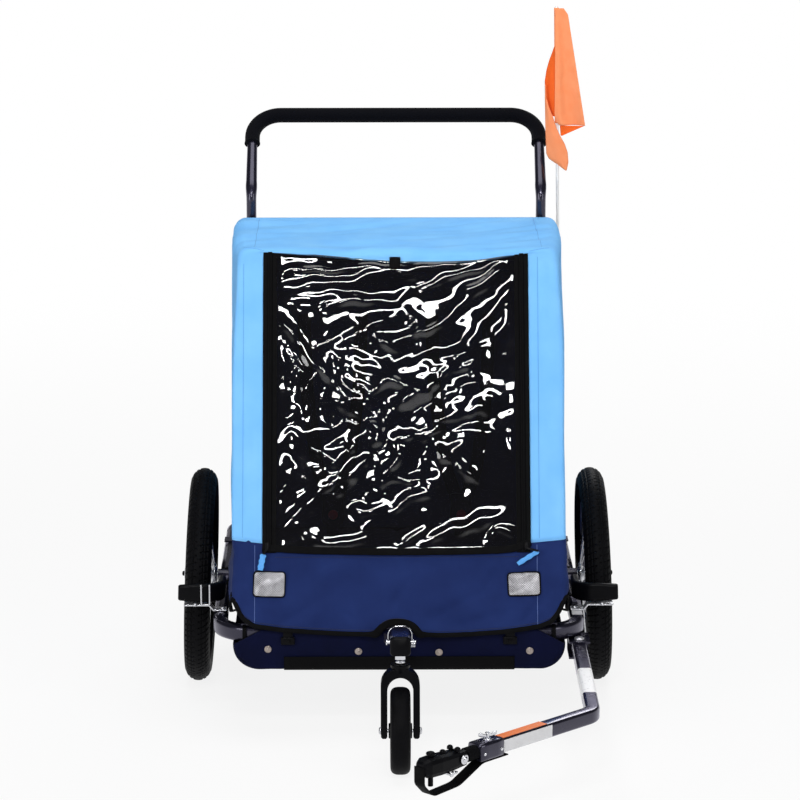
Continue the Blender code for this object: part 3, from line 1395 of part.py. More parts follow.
def safety_strap():
    """Webbing tether hanging in a bow from the sleeve to the coupler's tip."""
    place = coupler_place(0)
    under = -SLEEVE_SIZE / 2 - SEAT_GAP - 0.0012
    reach = 0.028 + NECK_LENGTH + HEAD_LENGTH - 0.012
    front = reach + SEAT_GAP + 0.001
    points = [
        (-0.040, 0, under),
        (0.020, 0, under),
        (0.075, 0, under - 0.026),
        (reach - 0.020, 0, under - 0.030),
        (front, 0, under - 0.008),
        (front, 0, 0.004),
    ]
    path = rounded_path(points, [0.04, 0.04, 0.018, 0.014], 4)
    web = [(0.0115, 0.001), (-0.0115, 0.001), (-0.0115, -0.001), (0.0115, -0.001)]
    strap = sweep(path, web, side=(0, 1, 0))
    add("safety_strap", strap, material("safety_strap", (0.004, 0.004, 0.005), 0.85), place)


POLE_FOOT = Vector((RAIL_HALF_SPAN + 0.0005, POLE_Y, RAIL_TOP_Z))
POLE_TIP = Vector((POLE_TOP_X, POLE_Y, POLE_TOP_Z))


def pole_point(z):
    return POLE_FOOT + (POLE_TIP - POLE_FOOT) * ((z - POLE_FOOT.z) / (POLE_TIP.z - POLE_FOOT.z))


def flag_socket():
    """Cup welded on the right rail, bored for the flag's pole."""
    low, high = -RAIL_WALL / 2, 0.050
    bore = POLE_R + PIN_PLAY
    cup_r = POLE_R + 0.0035
    profile = [(low, 0), (low, cup_r), (high, cup_r), (high, bore), (0.004, bore), (0.004, 0)]
    shape = turned(profile, 14, "Z", closed=False)
    turn = Vector((0, 0, 1)).rotation_difference(POLE_TIP - POLE_FOOT).to_matrix().to_4x4()
    bmesh.ops.transform(shape, verts=shape.verts, matrix=Matrix.Translation(POLE_FOOT) @ turn)
    return shape


# The pennant's outline: drop below the pole's tip, reach to the left of the pole and to its right
FLAG_OUTLINE = [
    (0.003, -0.006, 0.014),
    (0.014, -0.006, 0.022),
    (0.055, -0.005, 0.030),
    (0.085, -0.005, 0.034),
    (0.108, -0.016, 0.038),
    (0.148, -0.025, 0.044),
    (0.190, -0.026, 0.050),
    (0.228, -0.025, 0.053),
    (0.246, -0.024, 0.030),
    (0.280, -0.023, 0.013),
    (0.306, -0.021, 0.015),
    (0.319, -0.008, 0.013),
]


def flag():
    """A thin pole and a pennant that hangs from it in long folds, its back against the pole."""
    along = (POLE_TIP - POLE_FOOT).normalized()
    start = POLE_FOOT + along * (0.004 + SEAT_GAP)
    look = material("flag_pole", (0.85, 0.85, 0.83), 0.4)
    add("flag_pole", rod(start, POLE_TIP, POLE_R, 10), look)
    back_y = POLE_Y - POLE_R - SEAT_GAP - FLAG_CLOTH
    rows = []
    for drop, left, right in FLAG_OUTLINE:
        at = pole_point(POLE_TOP_Z - drop)
        depth = 0.004 + 0.010 * drop / FLAG_OUTLINE[-1][0]
        row = []
        for j in range(13):
            x = left + (right - left) * j / 12
            fold = depth * math.sin(math.pi * x / FLAG_FOLD) ** 2
            row.append((at.x + x, back_y - fold, at.z))
        rows.append(row)
    add("flag", sheet(rows, FLAG_CLOTH), material("flag", (0.95, 0.26, 0.10), 0.7))


def stand_on_origin():
    """Puts the origin on the ground under the middle of the trailer's outline."""
    graph = bpy.context.evaluated_depsgraph_get()
    graph.update()
    low, high = Vector((1e9, 1e9, 1e9)), Vector((-1e9, -1e9, -1e9))
    for thing in bpy.data.objects:
        if thing.hide_render:
            continue
        shape = thing.evaluated_get(graph)
        for corner in shape.to_mesh().vertices:
            spot = shape.matrix_world @ corner.co
            low = Vector(map(min, low, spot))
            high = Vector(map(max, high, spot))
        shape.to_mesh_clear()
    root = bpy.data.objects.new("trailer", None)
    bpy.context.collection.objects.link(root)
    for thing in bpy.data.objects:
        if thing is not root:
            thing.parent = root
    root.location = (-(low.x + high.x) / 2, -(low.y + high.y) / 2, -low.z)
    print("moved by", tuple(round(value, 6) for value in root.location))
    print("size", tuple(round(value, 4) for value in high - low))


def build():
    clear_scene()
    end_rail("front_rail", FRONT_RAIL_Y, FRONT_JOINT_Y, FRONT_CORNER_R)
    end_rail("rear_rail", REAR_RAIL_Y, REAR_JOINT_Y, REAR_CORNER_R)
    side_rails()
    axle_crossbar()
    wheels()
    wheel_guards()
    hoops()
    hoop_brackets()
    push_bar()
    floor_tub()
    tub_strip()
    seat()
    harnesses()
    side_panels()
    roof()
    window()
    apron()
    front_trim()
    rear_panel()
    caster_arm()
    lock_pin()
    caster()
    hitch_arm()
    coupler()
    safety_strap()
    flag()
    stand_on_origin()


build()
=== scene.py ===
import math

import bmesh
import bpy
import numpy as np
from mathutils import Matrix, Vector, noise
from mathutils.bvhtree import BVHTree


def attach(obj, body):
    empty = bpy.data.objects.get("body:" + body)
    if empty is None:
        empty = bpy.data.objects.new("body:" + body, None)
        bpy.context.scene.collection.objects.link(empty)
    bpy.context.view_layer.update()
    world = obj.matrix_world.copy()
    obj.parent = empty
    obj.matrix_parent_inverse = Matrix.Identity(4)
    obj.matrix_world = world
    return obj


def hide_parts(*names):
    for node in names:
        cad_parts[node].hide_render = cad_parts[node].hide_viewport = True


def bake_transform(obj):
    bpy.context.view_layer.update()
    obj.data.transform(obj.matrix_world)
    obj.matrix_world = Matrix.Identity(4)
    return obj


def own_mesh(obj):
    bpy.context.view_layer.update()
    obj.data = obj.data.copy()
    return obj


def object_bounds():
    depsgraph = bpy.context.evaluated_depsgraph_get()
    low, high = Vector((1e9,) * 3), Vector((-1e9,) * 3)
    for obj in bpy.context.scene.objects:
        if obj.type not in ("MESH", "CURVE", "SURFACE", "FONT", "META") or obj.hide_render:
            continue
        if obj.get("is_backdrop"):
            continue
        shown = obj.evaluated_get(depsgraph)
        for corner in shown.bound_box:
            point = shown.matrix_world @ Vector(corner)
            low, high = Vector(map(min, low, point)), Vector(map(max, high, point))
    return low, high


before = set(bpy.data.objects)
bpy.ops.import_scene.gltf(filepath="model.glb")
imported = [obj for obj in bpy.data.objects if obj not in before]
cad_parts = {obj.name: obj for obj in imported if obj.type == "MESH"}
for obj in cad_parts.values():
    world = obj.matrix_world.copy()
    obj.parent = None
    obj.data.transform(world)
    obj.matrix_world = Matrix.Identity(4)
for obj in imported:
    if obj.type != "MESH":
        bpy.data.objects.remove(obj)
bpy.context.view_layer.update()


# Camera. It stands 6.2 m ahead of the trailer's origin and 1.94 m up, as the tyres' outlines in the
# photograph say, tilted down by 12.2 degrees and turned half a degree to the right.
camera = bpy.data.objects.new("camera", bpy.data.cameras.new("camera"))
camera.data.sensor_width = 36.0
camera.data.lens = 160.3
camera.data.clip_end = 200.0
camera.location = (-0.055, -6.195384, 1.94)
camera.rotation_euler = (math.radians(90.0 - 12.2), 0.0, math.radians(-0.527))
bpy.context.scene.collection.objects.link(camera)
bpy.context.scene.camera = camera
bpy.context.scene.view_settings.view_transform = "Standard"


# Stage: a pale floor without end in a studio with pale walls and a dark ceiling. The floor adds a little
# light of its own where it is seen, so that it stays white in the picture and still keeps the faint shadow.
def colour(text):
    """Linear light from a colour written as it looks on the screen."""
    parts = [int(text[i : i + 2], 16) / 255.0 for i in (1, 3, 5)]
    return [p / 12.92 if p <= 0.04045 else ((p + 0.055) / 1.055) ** 2.4 for p in parts] + [1.0]


def add(tree, kind, inputs=None, **settings):
    """Adds one shader node with its settings. An input is a value or another node's socket."""
    node = tree.nodes.new(kind)
    for key, value in settings.items():
        setattr(node, key, value)
    for key, value in (inputs or {}).items():
        if isinstance(value, bpy.types.NodeSocket):
            tree.links.new(value, node.inputs[key])
        else:
            node.inputs[key].default_value = value
    return node


def reckoned(tree, operation, *terms):
    """What an arithmetic node gives for its terms."""
    return add(tree, "ShaderNodeMath", dict(enumerate(terms)), operation=operation).outputs[0]


def between(tree, share, dark, pale):
    """A colour that share takes from dark to pale."""
    ends = {0: share, 6: colour(dark), 7: colour(pale)}
    return add(tree, "ShaderNodeMix", ends, data_type="RGBA").outputs[2]


def new_material(name):
    """A material with an empty node tree, and that tree."""
    made = bpy.data.materials.new(name)
    made.use_nodes = True
    made.node_tree.nodes.clear()
    return made, made.node_tree


def coated(tree, inputs):
    """Ends a material's tree with its shader."""
    shader = add(tree, "ShaderNodeBsdfPrincipled", inputs)
    add(tree, "ShaderNodeOutputMaterial", {"Surface": shader.outputs[0]})


world = bpy.data.worlds.new("studio walls and ceiling")
bpy.context.scene.world = world
world.use_nodes = True
tree = world.node_tree
tree.nodes.clear()
ways = add(tree, "ShaderNodeTexCoord")
split = add(tree, "ShaderNodeSeparateXYZ", {0: ways.outputs["Generated"]})
height = add(
    tree,
    "ShaderNodeMapRange",
    {"Value": split.outputs["Z"], "From Min": 0.0, "From Max": 0.24, "To Min": 0.90, "To Max": 0.08},
    interpolation_type="SMOOTHERSTEP",
)
wall = add(tree, "ShaderNodeBackground", {"Color": colour("#ffffff"), "Strength": height.outputs[0]})
add(tree, "ShaderNodeOutputWorld", {"Surface": wall.outputs[0]})

bpy.ops.mesh.primitive_plane_add(size=160.0, location=(0.0, 0.0, 0.0))
floor = bpy.context.object
floor.name = "floor"
paper, tree = new_material("matt white studio floor")
rays = add(tree, "ShaderNodeLightPath")
seen = rays.outputs["Is Camera Ray"]
for other in ("Is Glossy Ray", "Is Transmission Ray"):
    seen = reckoned(tree, "MAXIMUM", seen, rays.outputs[other])
spot = add(tree, "ShaderNodeTexCoord").outputs["Object"]
away = add(tree, "ShaderNodeVectorMath", {0: spot}, operation="LENGTH").outputs["Value"]
glowing = add(
    tree,
    "ShaderNodeMapRange",
    {"Value": away, "From Min": 1.0, "From Max": 4.5, "To Min": 0.86, "To Max": 1.0},
    interpolation_type="SMOOTHSTEP",
)
share = reckoned(tree, "MULTIPLY", seen, glowing.outputs[0])
painted = add(tree, "ShaderNodeBsdfDiffuse", {"Color": colour("#f4f4f4")})
glow = add(tree, "ShaderNodeEmission", {"Color": colour("#ffffff"), "Strength": 1.0})
mixed = add(tree, "ShaderNodeMixShader", {0: share, 1: painted.outputs[0], 2: glow.outputs[0]})
add(tree, "ShaderNodeOutputMaterial", {"Surface": mixed.outputs[0]})
floor.data.materials.append(paper)
floor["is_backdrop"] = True


# Lights: a long strip and a small softbox high ahead of the trailer, which draw thin bright lines on the
# crumpled window, two broad ones at its sides for the sheen of the tubes, and soft ones overhead and behind.
def softbox(name, place, aim, wide, high, power):
    lamp = bpy.data.lights.new(name, "AREA")
    lamp.shape = "RECTANGLE"
    lamp.size, lamp.size_y = wide, high
    lamp.energy = power
    holder = bpy.data.objects.new(name, lamp)
    holder.location = place
    holder.rotation_euler = (Vector(aim) - Vector(place)).to_track_quat("-Z", "Y").to_euler()
    holder.visible_camera = False
    bpy.context.scene.collection.objects.link(holder)


softbox("strip softbox", (0.0, -4.15, 4.19), (0.0, 0.0, 0.58), 2.0, 0.42, 88.0)
softbox("small softbox", (-0.60, -4.87, 3.05), (0.0, 0.0, 0.58), 0.50, 0.42, 34.0)
softbox("broad softbox left", (-3.6, -3.0, 1.9), (0.0, 0.0, 0.5), 1.6, 2.0, 60.0)
softbox("broad softbox right", (3.6, -3.0, 1.9), (0.0, 0.0, 0.5), 1.6, 2.0, 40.0)
softbox("overhead softbox", (0.0, 0.3, 3.4), (0.0, 0.3, 0.5), 2.4, 2.0, 42.0)
softbox("rear softbox", (1.0, 4.0, 2.6), (0.0, 0.3, 0.5), 1.6, 1.2, 44.0)


# Base frame: a bent front rail and rear rail pushed into two side rails, and a cross tube with the receivers
# of the stub axles. Steel tube 30 x 25 mm with rounded edges, welded, then powder coated black.
def surface(name, dark, pale, patch_mm, rough, grain_mm, relief_mm, **sockets):
    """A finish whose colour and roughness drift over patches and whose surface has a fine relief."""
    made, tree = new_material(name)
    where = add(tree, "ShaderNodeTexCoord").outputs["Object"]
    drift = add(tree, "ShaderNodeTexNoise", {"Vector": where, "Scale": 1000.0 / patch_mm, "Detail": 3.0})
    tint = between(tree, drift.outputs["Fac"], dark, pale)
    gloss = add(
        tree,
        "ShaderNodeMapRange",
        {
            "Value": drift.outputs["Fac"],
            "From Min": 0.3,
            "From Max": 0.7,
            "To Min": rough[0],
            "To Max": rough[1],
        },
    )
    grain = add(tree, "ShaderNodeTexNoise", {"Vector": where, "Scale": 1000.0 / grain_mm, "Detail": 2.0})
    relief = add(
        tree, "ShaderNodeBump", {
            "Height": grain.outputs["Fac"], "Strength": 0.6, "Distance": relief_mm / 1000.0
        }
    )
    values = {key.replace("_", " "): value for key, value in sockets.items()}
    coated(tree, {"Base Color": tint, "Roughness": gloss.outputs[0], "Normal": relief.outputs[0], **values})
    return made


# Black powder coat over steel: a smooth skin with a faint orange peel, dark with a cool lilac shine.
powder_coat = surface(
    "black powder coat",
    "#101016",
    "#18181f",
    60.0,
    (0.24, 0.32),
    1.6,
    0.02,
    Coat_Weight=0.60,
    Coat_Roughness=0.12,
    Coat_Tint=colour("#cdc8ea"),
    Specular_IOR_Level=0.60,
    Specular_Tint=colour("#d2cdf0"),
)


def rounded(width, height, radius, steps=4):
    """The outline of a tube with rounded edges."""
    outline = []
    for x, y, start in ((1, 1, 0), (-1, 1, 90), (-1, -1, 180), (1, -1, 270)):
        for i in range(steps + 1):
            turn = math.radians(start + 90.0 * i / steps)
            across = x * (width / 2 - radius) + radius * math.cos(turn)
            outline.append((across, y * (height / 2 - radius) + radius * math.sin(turn)))
    return outline


def round_tube(radius, sides=24):
    turns = [2 * math.pi * i / sides for i in range(sides)]
    return [(radius * math.cos(t), radius * math.sin(t)) for t in turns]


def bent(corners, radii, steps=14):
    """A line through corners, each inner corner bent to its radius."""
    points = [Vector(corners[0])]
    for before, corner, after, radius in zip(corners, corners[1:], corners[2:], radii):
        before, corner, after = Vector(before), Vector(corner), Vector(after)
        back, ahead = (before - corner).normalized(), (after - corner).normalized()
        half = back.angle(ahead) / 2
        centre = corner + (back + ahead).normalized() * (radius / math.sin(half))
        first = corner + back * (radius / math.tan(half)) - centre
        axis = back.cross(ahead).normalized()
        for i in range(steps + 1):
            turn = Matrix.Rotation(-(math.pi - 2 * half) * i / steps, 3, axis)
            points.append(centre + turn @ first)
    points.append(Vector(corners[-1]))
    return points


def drawn(path, outline, up=(0, 0, 1), sizes=None, closed=False):
    """The outline drawn along the path, its ends closed. sizes scales it at each point, by one number or
    two."""
    path = [Vector(p) for p in path]
    form = bmesh.new()
    loops = []
    across = Vector(up)
    count = len(path)
    for i, point in enumerate(path):
        before = path[i - 1] if i or closed else point
        after = path[(i + 1) % count] if i + 1 < count or closed else point
        along = (after - before).normalized()
        across = (across - along * across.dot(along)).normalized()
        other = along.cross(across)
        size = 1.0 if sizes is None else sizes[i]
        wide, high = size if isinstance(size, tuple) else (size, size)
        loops.append([form.verts.new(point + across * a * wide + other * b * high) for a, b in outline])
    pairs = list(zip(loops, loops[1:])) + ([(loops[-1], loops[0])] if closed else [])
    for first, second in pairs:
        for i in range(len(outline)):
            j = (i + 1) % len(outline)
            form.faces.new((first[i], first[j], second[j], second[i]))
    if not closed:
        form.faces.new(loops[0])
        form.faces.new(loops[-1])
    return form


def placed(name, mesh, look):
    """The mesh as an object in its material."""
    mesh.materials.append(look)
    thing = bpy.data.objects.new(name, mesh)
    bpy.context.scene.collection.objects.link(thing)
    return thing


def enrolled(thing, body, stands_for):
    """Lets the piece ride on its body, if one is given, and hides the nodes that it stands for."""
    if body:
        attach(thing, body)
    if stands_for:
        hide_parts(*stands_for)
    return thing


def broken_edges(thing, width):
    """Bevels the sharp edges by width."""
    soft = thing.modifiers.new("broken edges", "BEVEL")
    soft.width, soft.segments, soft.limit_method = width, 2, "ANGLE"
    return soft


def piece(name, form, look, body, *stands_for, slot=None, place=None, sharp=38.0, bevel=0.0):
    """Makes the object from its mesh, smooth but for its sharp edges, and lets it ride on a body, if one is
    given."""
    bmesh.ops.recalc_face_normals(form, faces=form.faces)
    mesh = bpy.data.meshes.new(name)
    form.to_mesh(mesh)
    form.free()
    mesh.shade_smooth()
    mesh.set_sharp_from_angle(angle=math.radians(sharp))
    thing = placed(name, mesh, look)
    if place is not None:
        thing.matrix_world = place
    if bevel:
        broken_edges(thing, bevel).harden_normals = True
    return enrolled(thing, body, stands_for)


def finish_node(look, edge, *nodes):
    """Gives carried-over nodes their finish and breaks their edges."""
    for name in nodes:
        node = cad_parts[name]
        for holder in node.material_slots:
            holder.material = look
        if edge:
            broken_edges(node, edge)


rail_x, rail_z = 0.323, 0.185
for end, side_y, end_y, corner in (("front", 0.0226, -0.0529, 0.072), ("rear", 0.6526, 0.7221, 0.055)):
    places = ((-rail_x, side_y), (-rail_x, end_y), (rail_x, end_y), (rail_x, side_y))
    rail = drawn(bent([(x, y, rail_z) for x, y in places], [corner, corner]), rounded(0.030, 0.025, 0.008, 5))
    piece(f"{end}_rail_tube", rail, powder_coat, "frame", f"{end}_rail", slot="frame_paint")
finish_node(powder_coat, 0.0006, "side_rail_left", "side_rail_right", "axle_crossbar")


# Wheels: alloy rims laced with twenty steel spokes to alloy hubs, and 47-305 rubber tyres with a block tread.
# Each wheel leans in by 2 degrees at the top and turns on a stub axle with a release button in its end.
def turned(profile, steps, closed=True):
    """A body of revolution round local X. The profile gives (distance along X, radius)."""
    form = bmesh.new()
    loops = []
    for along, radius in profile:
        if radius == 0:
            loops.append([form.verts.new((along, 0.0, 0.0))])
            continue
        turns = [2 * math.pi * i / steps for i in range(steps)]
        loops.append([form.verts.new((along, radius * math.sin(t), -radius * math.cos(t))) for t in turns])
    pairs = list(zip(loops, loops[1:])) + ([(loops[-1], loops[0])] if closed else [])
    for first, second in pairs:
        for i in range(steps):
            j = (i + 1) % steps
            ring = [
                first[i % len(first)], first[j % len(first)], second[j % len(second)], second[i % len(second)]
            ]
            form.faces.new(list(dict.fromkeys(ring)))
    return form


def aimed(form, was, out, spot):
    """Turns the form from the direction was to the direction out, then moves it to spot."""
    turn = Vector(was).rotation_difference(Vector(out)).to_matrix()
    bmesh.ops.rotate(form, verts=form.verts, cent=(0, 0, 0), matrix=turn)
    bmesh.ops.translate(form, verts=form.verts, vec=Vector(spot))
    return form


def rod(start, end, radius, sides=16, tip=None):
    """A straight round bar, which may narrow to tip."""
    start, end = Vector(start), Vector(end)
    form = bmesh.new()
    bmesh.ops.create_cone(
        form,
        cap_ends=True,
        segments=sides,
        radius1=radius,
        radius2=radius if tip is None else tip,
        depth=(end - start).length,
    )
    return aimed(form, (0, 0, 1), end - start, (start + end) / 2)


def button_head(base, out, radius, rise, sides=24):
    """A low domed head, as on a rivet, bolt or snap, standing out from base."""
    profile = [(0.0, radius), (0.35 * rise, radius)]
    profile += [(rise * (0.35 + 0.65 * math.sin(t)), radius * math.cos(t)) for t in (0.35, 0.7, 1.05, 1.35)]
    return aimed(turned(profile + [(rise, 0)], sides, closed=False), (1, 0, 0), out, base)


def joined(*forms):
    """Several meshes in one."""
    whole = bmesh.new()
    for form in forms:
        mesh = bpy.data.meshes.new("part")
        form.to_mesh(mesh)
        form.free()
        whole.from_mesh(mesh)
        bpy.data.meshes.remove(mesh)
    return whole


# Aluminium, turned and clear anodised: bright grey with a satin shine.
satin_alloy = surface(
    "anodised aluminium", "#b9bbc0", "#cfd0d4", 25.0, (0.22, 0.34), 0.8, 0.006, Metallic=1.0
)
# Steel wire and pressings, zinc plated: a colder grey with cloudy patches.
zinc_plate = surface("bright zinc plate", "#b4b5ba", "#dadade", 9.0, (0.22, 0.38), 1.2, 0.01, Metallic=0.85)
# Tyre rubber, moulded: a near black with a dull shine, a little greyer where it is scuffed.
tyre_rubber = surface(
    "moulded tyre rubber", "#060607", "#101013", 18.0, (0.48, 0.62), 1.4, 0.05, Specular_IOR_Level=0.05
)
# Polypropylene, moulded in black with a fine spark-eroded grain.
black_plastic = surface(
    "moulded black polypropylene", "#040406", "#0a0a0e", 30.0, (0.30, 0.42), 0.9, 0.03,
    Specular_IOR_Level=0.08,
)

sides = (("left", -1), ("right", 1))
camber = math.radians(2.0)
hub_x, hub_y, hub_z = 0.369, 0.304616, 0.199892
spoke_count = 20
tyre_centre, tyre_round = 0.1765, 0.0235
rim_outline = [
    (0.0090, 0.1410),
    (0.0128, 0.1432),
    (0.0143, 0.1478),
    (0.0145, 0.1580),
    (0.0141, 0.1592),
    (0.0132, 0.1590),
    (0.0126, 0.1560),
    (0.0100, 0.1518),
    (0.0050, 0.1505),
]
rim_outline += [(-x, r) for x, r in reversed(rim_outline)]
hub_outline = [
    (0.0060, 0.0112),
    (0.0170, 0.0118),
    (0.0205, 0.0150),
    (0.0222, 0.0212),
    (0.0230, 0.0220),
    (0.0252, 0.0220),
    (0.0258, 0.0212),
    (0.0262, 0.0150),
    (0.0282, 0.0128),
    (0.0290, 0.0120),
    (0.0290, 0.0064),
]
hub_outline = [(-x, r) for x, r in reversed(hub_outline)] + hub_outline
tread_blocks, block_steps = 96, 7


def tyre_form():
    """Treaded crown with curved sipes, ribbed side walls and two beads inside the rim's flanges."""
    steps = tread_blocks * block_steps
    points = []
    for turn in (118.0 * n / 24 for n in range(-24, 25)):
        side = abs(turn)
        phi = math.radians(turn)
        points.append([(tyre_round * math.sin(phi), tyre_centre + tyre_round * math.cos(phi))] * steps)
        for i in range(steps):
            curve = int(round(3.2 * (side / 60.0) ** 1.6 * (1 if turn > 0 else -1)))
            in_block = (i + curve + (block_steps // 2 if turn > 0 else 0)) % block_steps
            cut = 0.0
            if 9 < side < 66 and in_block == 0:
                cut = 0.0019
            if 21 < side < 27 or 42 < side < 46:
                cut = 0.0016
            if side < 3 and i % (2 * block_steps) < 1:
                cut = 0.0012
            if 78 < side < 84 or 96 < side < 100:
                cut = -0.0007
            if cut:
                reach = tyre_round - cut
                points[-1][i] = (reach * math.sin(phi), tyre_centre + reach * math.cos(phi))
    inner = [(0.0128, 0.1604), (0.0120, 0.1552), (0.0088, 0.1552), (0.0094, 0.1612)]
    for i in range(6, -7, -1):
        turn = math.radians(110.0) * i / 6
        inner.append((0.0195 * math.sin(turn), tyre_centre + 0.0195 * math.cos(turn)))
    inner += [(-0.0094, 0.1612), (-0.0088, 0.1552), (-0.0120, 0.1552), (-0.0128, 0.1604)]
    points += [[spot] * steps for spot in inner]
    grid = np.array(points, float)
    turns = 2 * np.pi * np.arange(steps) / steps
    spots = np.stack([grid[:, :, 0], grid[:, :, 1] * np.sin(turns), -grid[:, :, 1] * np.cos(turns)], axis=2)
    high = len(points)
    faces = []
    for i in range(high):
        k = (i + 1) % high
        for j in range(steps):
            n = (j + 1) % steps
            faces.append((i * steps + j, i * steps + n, k * steps + n, k * steps + j))
    mesh = bpy.data.meshes.new("part")
    mesh.from_pydata(spots.reshape(-1, 3).tolist(), [], faces)
    form = bmesh.new()
    form.from_mesh(mesh)
    bpy.data.meshes.remove(mesh)
    return form


def spoke_ends(i):
    side = 1 if i % 2 else -1
    lean = (1 if i % 4 < 2 else -1) * math.radians(9)
    at_rim = 2 * math.pi * i / spoke_count
    at_hub = at_rim + lean
    hub_end = Vector((side * 0.024, 0.019 * math.sin(at_hub), 0.019 * math.cos(at_hub)))
    rim_end = Vector((side * 0.003, 0.1435 * math.sin(at_rim), 0.1435 * math.cos(at_rim)))
    return hub_end, rim_end


for side, sign in sides:
    lean = Matrix.Rotation(-camber, 4, "Y")
    turn = Matrix.Rotation(math.pi, 4, "Z") if sign < 0 else Matrix.Identity(4)
    wheel_place = Matrix.Translation((sign * hub_x, hub_y, hub_z)) @ turn @ lean
    wheel = f"wheel_{side}"
    piece(
        f"tyre_{side}_treaded",
        tyre_form(),
        tyre_rubber,
        wheel,
        f"tyre_{side}",
        slot="tyre_rubber",
        place=wheel_place,
        sharp=24.0,
    )
    piece(
        f"rim_{side}",
        turned(rim_outline, 160),
        satin_alloy,
        wheel,
        wheel,
        slot="wheel_alloy",
        place=wheel_place,
    )
    piece(f"hub_{side}", turned(hub_outline, 48), satin_alloy, wheel, slot="wheel_alloy", place=wheel_place)
    wires, nipples = [], []
    for i in range(spoke_count):
        hub_end, rim_end = spoke_ends(i)
        wires.append(rod(hub_end, rim_end, 0.0010, 8))
        towards = (hub_end - rim_end).normalized()
        nipples.append(rod(rim_end, rim_end + towards * 0.011, 0.0021, 8, 0.0016))
        outwards = Vector((1 if hub_end.x > 0 else -1, 0, 0))
        nipples.append(rod(hub_end - outwards * 0.001, hub_end + outwards * 0.0028, 0.0019, 8, 0.0012))
    piece(f"spokes_{side}", joined(*wires), zinc_plate, wheel, slot="zinc", place=wheel_place)
    piece(f"spoke_nipples_{side}", joined(*nipples), zinc_plate, wheel, slot="zinc", place=wheel_place)
    valve = joined(
        rod((0, 0.0, -0.146), (0, 0.0, -0.128), 0.0039, 16, 0.0036), rod(
            (0, 0.0, -0.128), (0, 0.0, -0.117), 0.0042, 12
        )
    )
    piece(f"valve_{side}", valve, black_plastic, wheel, slot="black_plastic", place=wheel_place)

    inner = (0.3125 - hub_x) / math.cos(camber)
    stub = [
        (inner, 0),
        (inner, 0.005),
        (inner + 0.001, 0.006),
        (0.0293, 0.006),
        (0.0293, 0.0095),
        (0.0300, 0.0098),
    ]
    stub += [(0.0316, 0.0096), (0.0323, 0.0086), (0.0323, 0.0048), (0.0253, 0.0048), (0.0253, 0)]
    stub = turned(stub, 32, closed=False)
    piece(f"stub_axle_{side}", stub, zinc_plate, "frame", f"axle_{side}", slot="zinc", place=wheel_place)
    button = [
        (0.0296, 0), (0.0296, 0.0045), (0.0352, 0.0045), (0.0362, 0.0036), (0.0368, 0.0018), (0.0368, 0)
    ]
    button = turned(button, 32, closed=False)
    stands_for = f"release_button_{side}"
    piece(
        f"button_{side}_cap",
        button,
        black_plastic,
        f"button_{side}",
        stands_for,
        slot="black_plastic",
        place=wheel_place,
    )


# Wheel guards: moulded black bars that curve out ahead of each tyre. Each is bolted to a stepped strap on the
# rail, and the left one is also held by a U-shaped clamp, all of zinc-plated steel.
guard_outline = rounded(0.034, 0.014, 0.0055, 5)
for side, sign in sides:
    tip = -0.4000 if sign < 0 else 0.3985
    path = [(sign * rail_x, 0.1276, 0.2285), (sign * rail_x, 0.0526, 0.2310), (tip, 0.0486, 0.2335)]
    path = bent(path, [0.034])
    last = path[-1]
    path = path[:-1] + [path[-2].lerp(last, t) for t in (0.25, 0.5, 0.75, 0.93, 1.0)]
    sizes = [1.0] * (len(path) - 5) + [(0.98, 1.0), (0.93, 1.1), (0.88, 1.15), (0.84, 1.15), (0.74, 0.85)]
    guard = drawn(path, guard_outline, sizes=sizes)
    piece(
        f"guard_{side}_bar",
        guard,
        black_plastic,
        "frame",
        f"guard_{side}",
        slot="black_plastic",
        bevel=0.0012,
    )
    y, deep = 0.0506, 0.022
    low, high = 0.2003, 0.2107
    line = [
        (0.3125, y, low + 0.0015),
        (0.3355, y, low + 0.0015),
        (0.3435, y, high + 0.0005),
        (0.3895, y, high + 0.0005),
    ]
    line = [(sign * x, b, c) for x, b, c in bent(line, [0.003, 0.003], 5)]
    forms = [drawn(line, rounded(0.0030, deep, 0.0008, 2))]
    if side == "left":
        prongs = [
            (-x, 0.0393, z)
            for x, z in ((0.3577, 0.2505), (0.3577, 0.2125), (0.3425, 0.2125), (0.3425, 0.2505))
        ]
        forms.append(drawn(bent(prongs, [0.003, 0.003], 5), rounded(0.0030, 0.0034, 0.0010, 3), up=(0, 1, 0)))
    forms.append(button_head((sign * 0.3193, y, low + 0.003), (0, 0, 1), 0.0048, 0.0032))
    forms.append(button_head((sign * 0.3693, y - 0.0105, high + 0.0016), (0, -0.6, 0.8), 0.0036, 0.0026))
    straps = joined(*forms)
    piece(
        f"guard_clamp_{side}", straps, zinc_plate, "frame", f"guard_strap_{side}", slot="zinc", bevel=0.0003
    )


# Cabin frame: two hoops of 19 mm steel tube under the cover, which fold towards each other on riveted pins
# in brackets on the rails. All of it is powder coated as the base frame.
finish_node(powder_coat, 0.0, "front_hoop", "rear_hoop")
finish_node(
    powder_coat,
    0.0005,
    "front_bracket_left",
    "front_bracket_right",
    "rear_bracket_left",
    "rear_bracket_right",
)


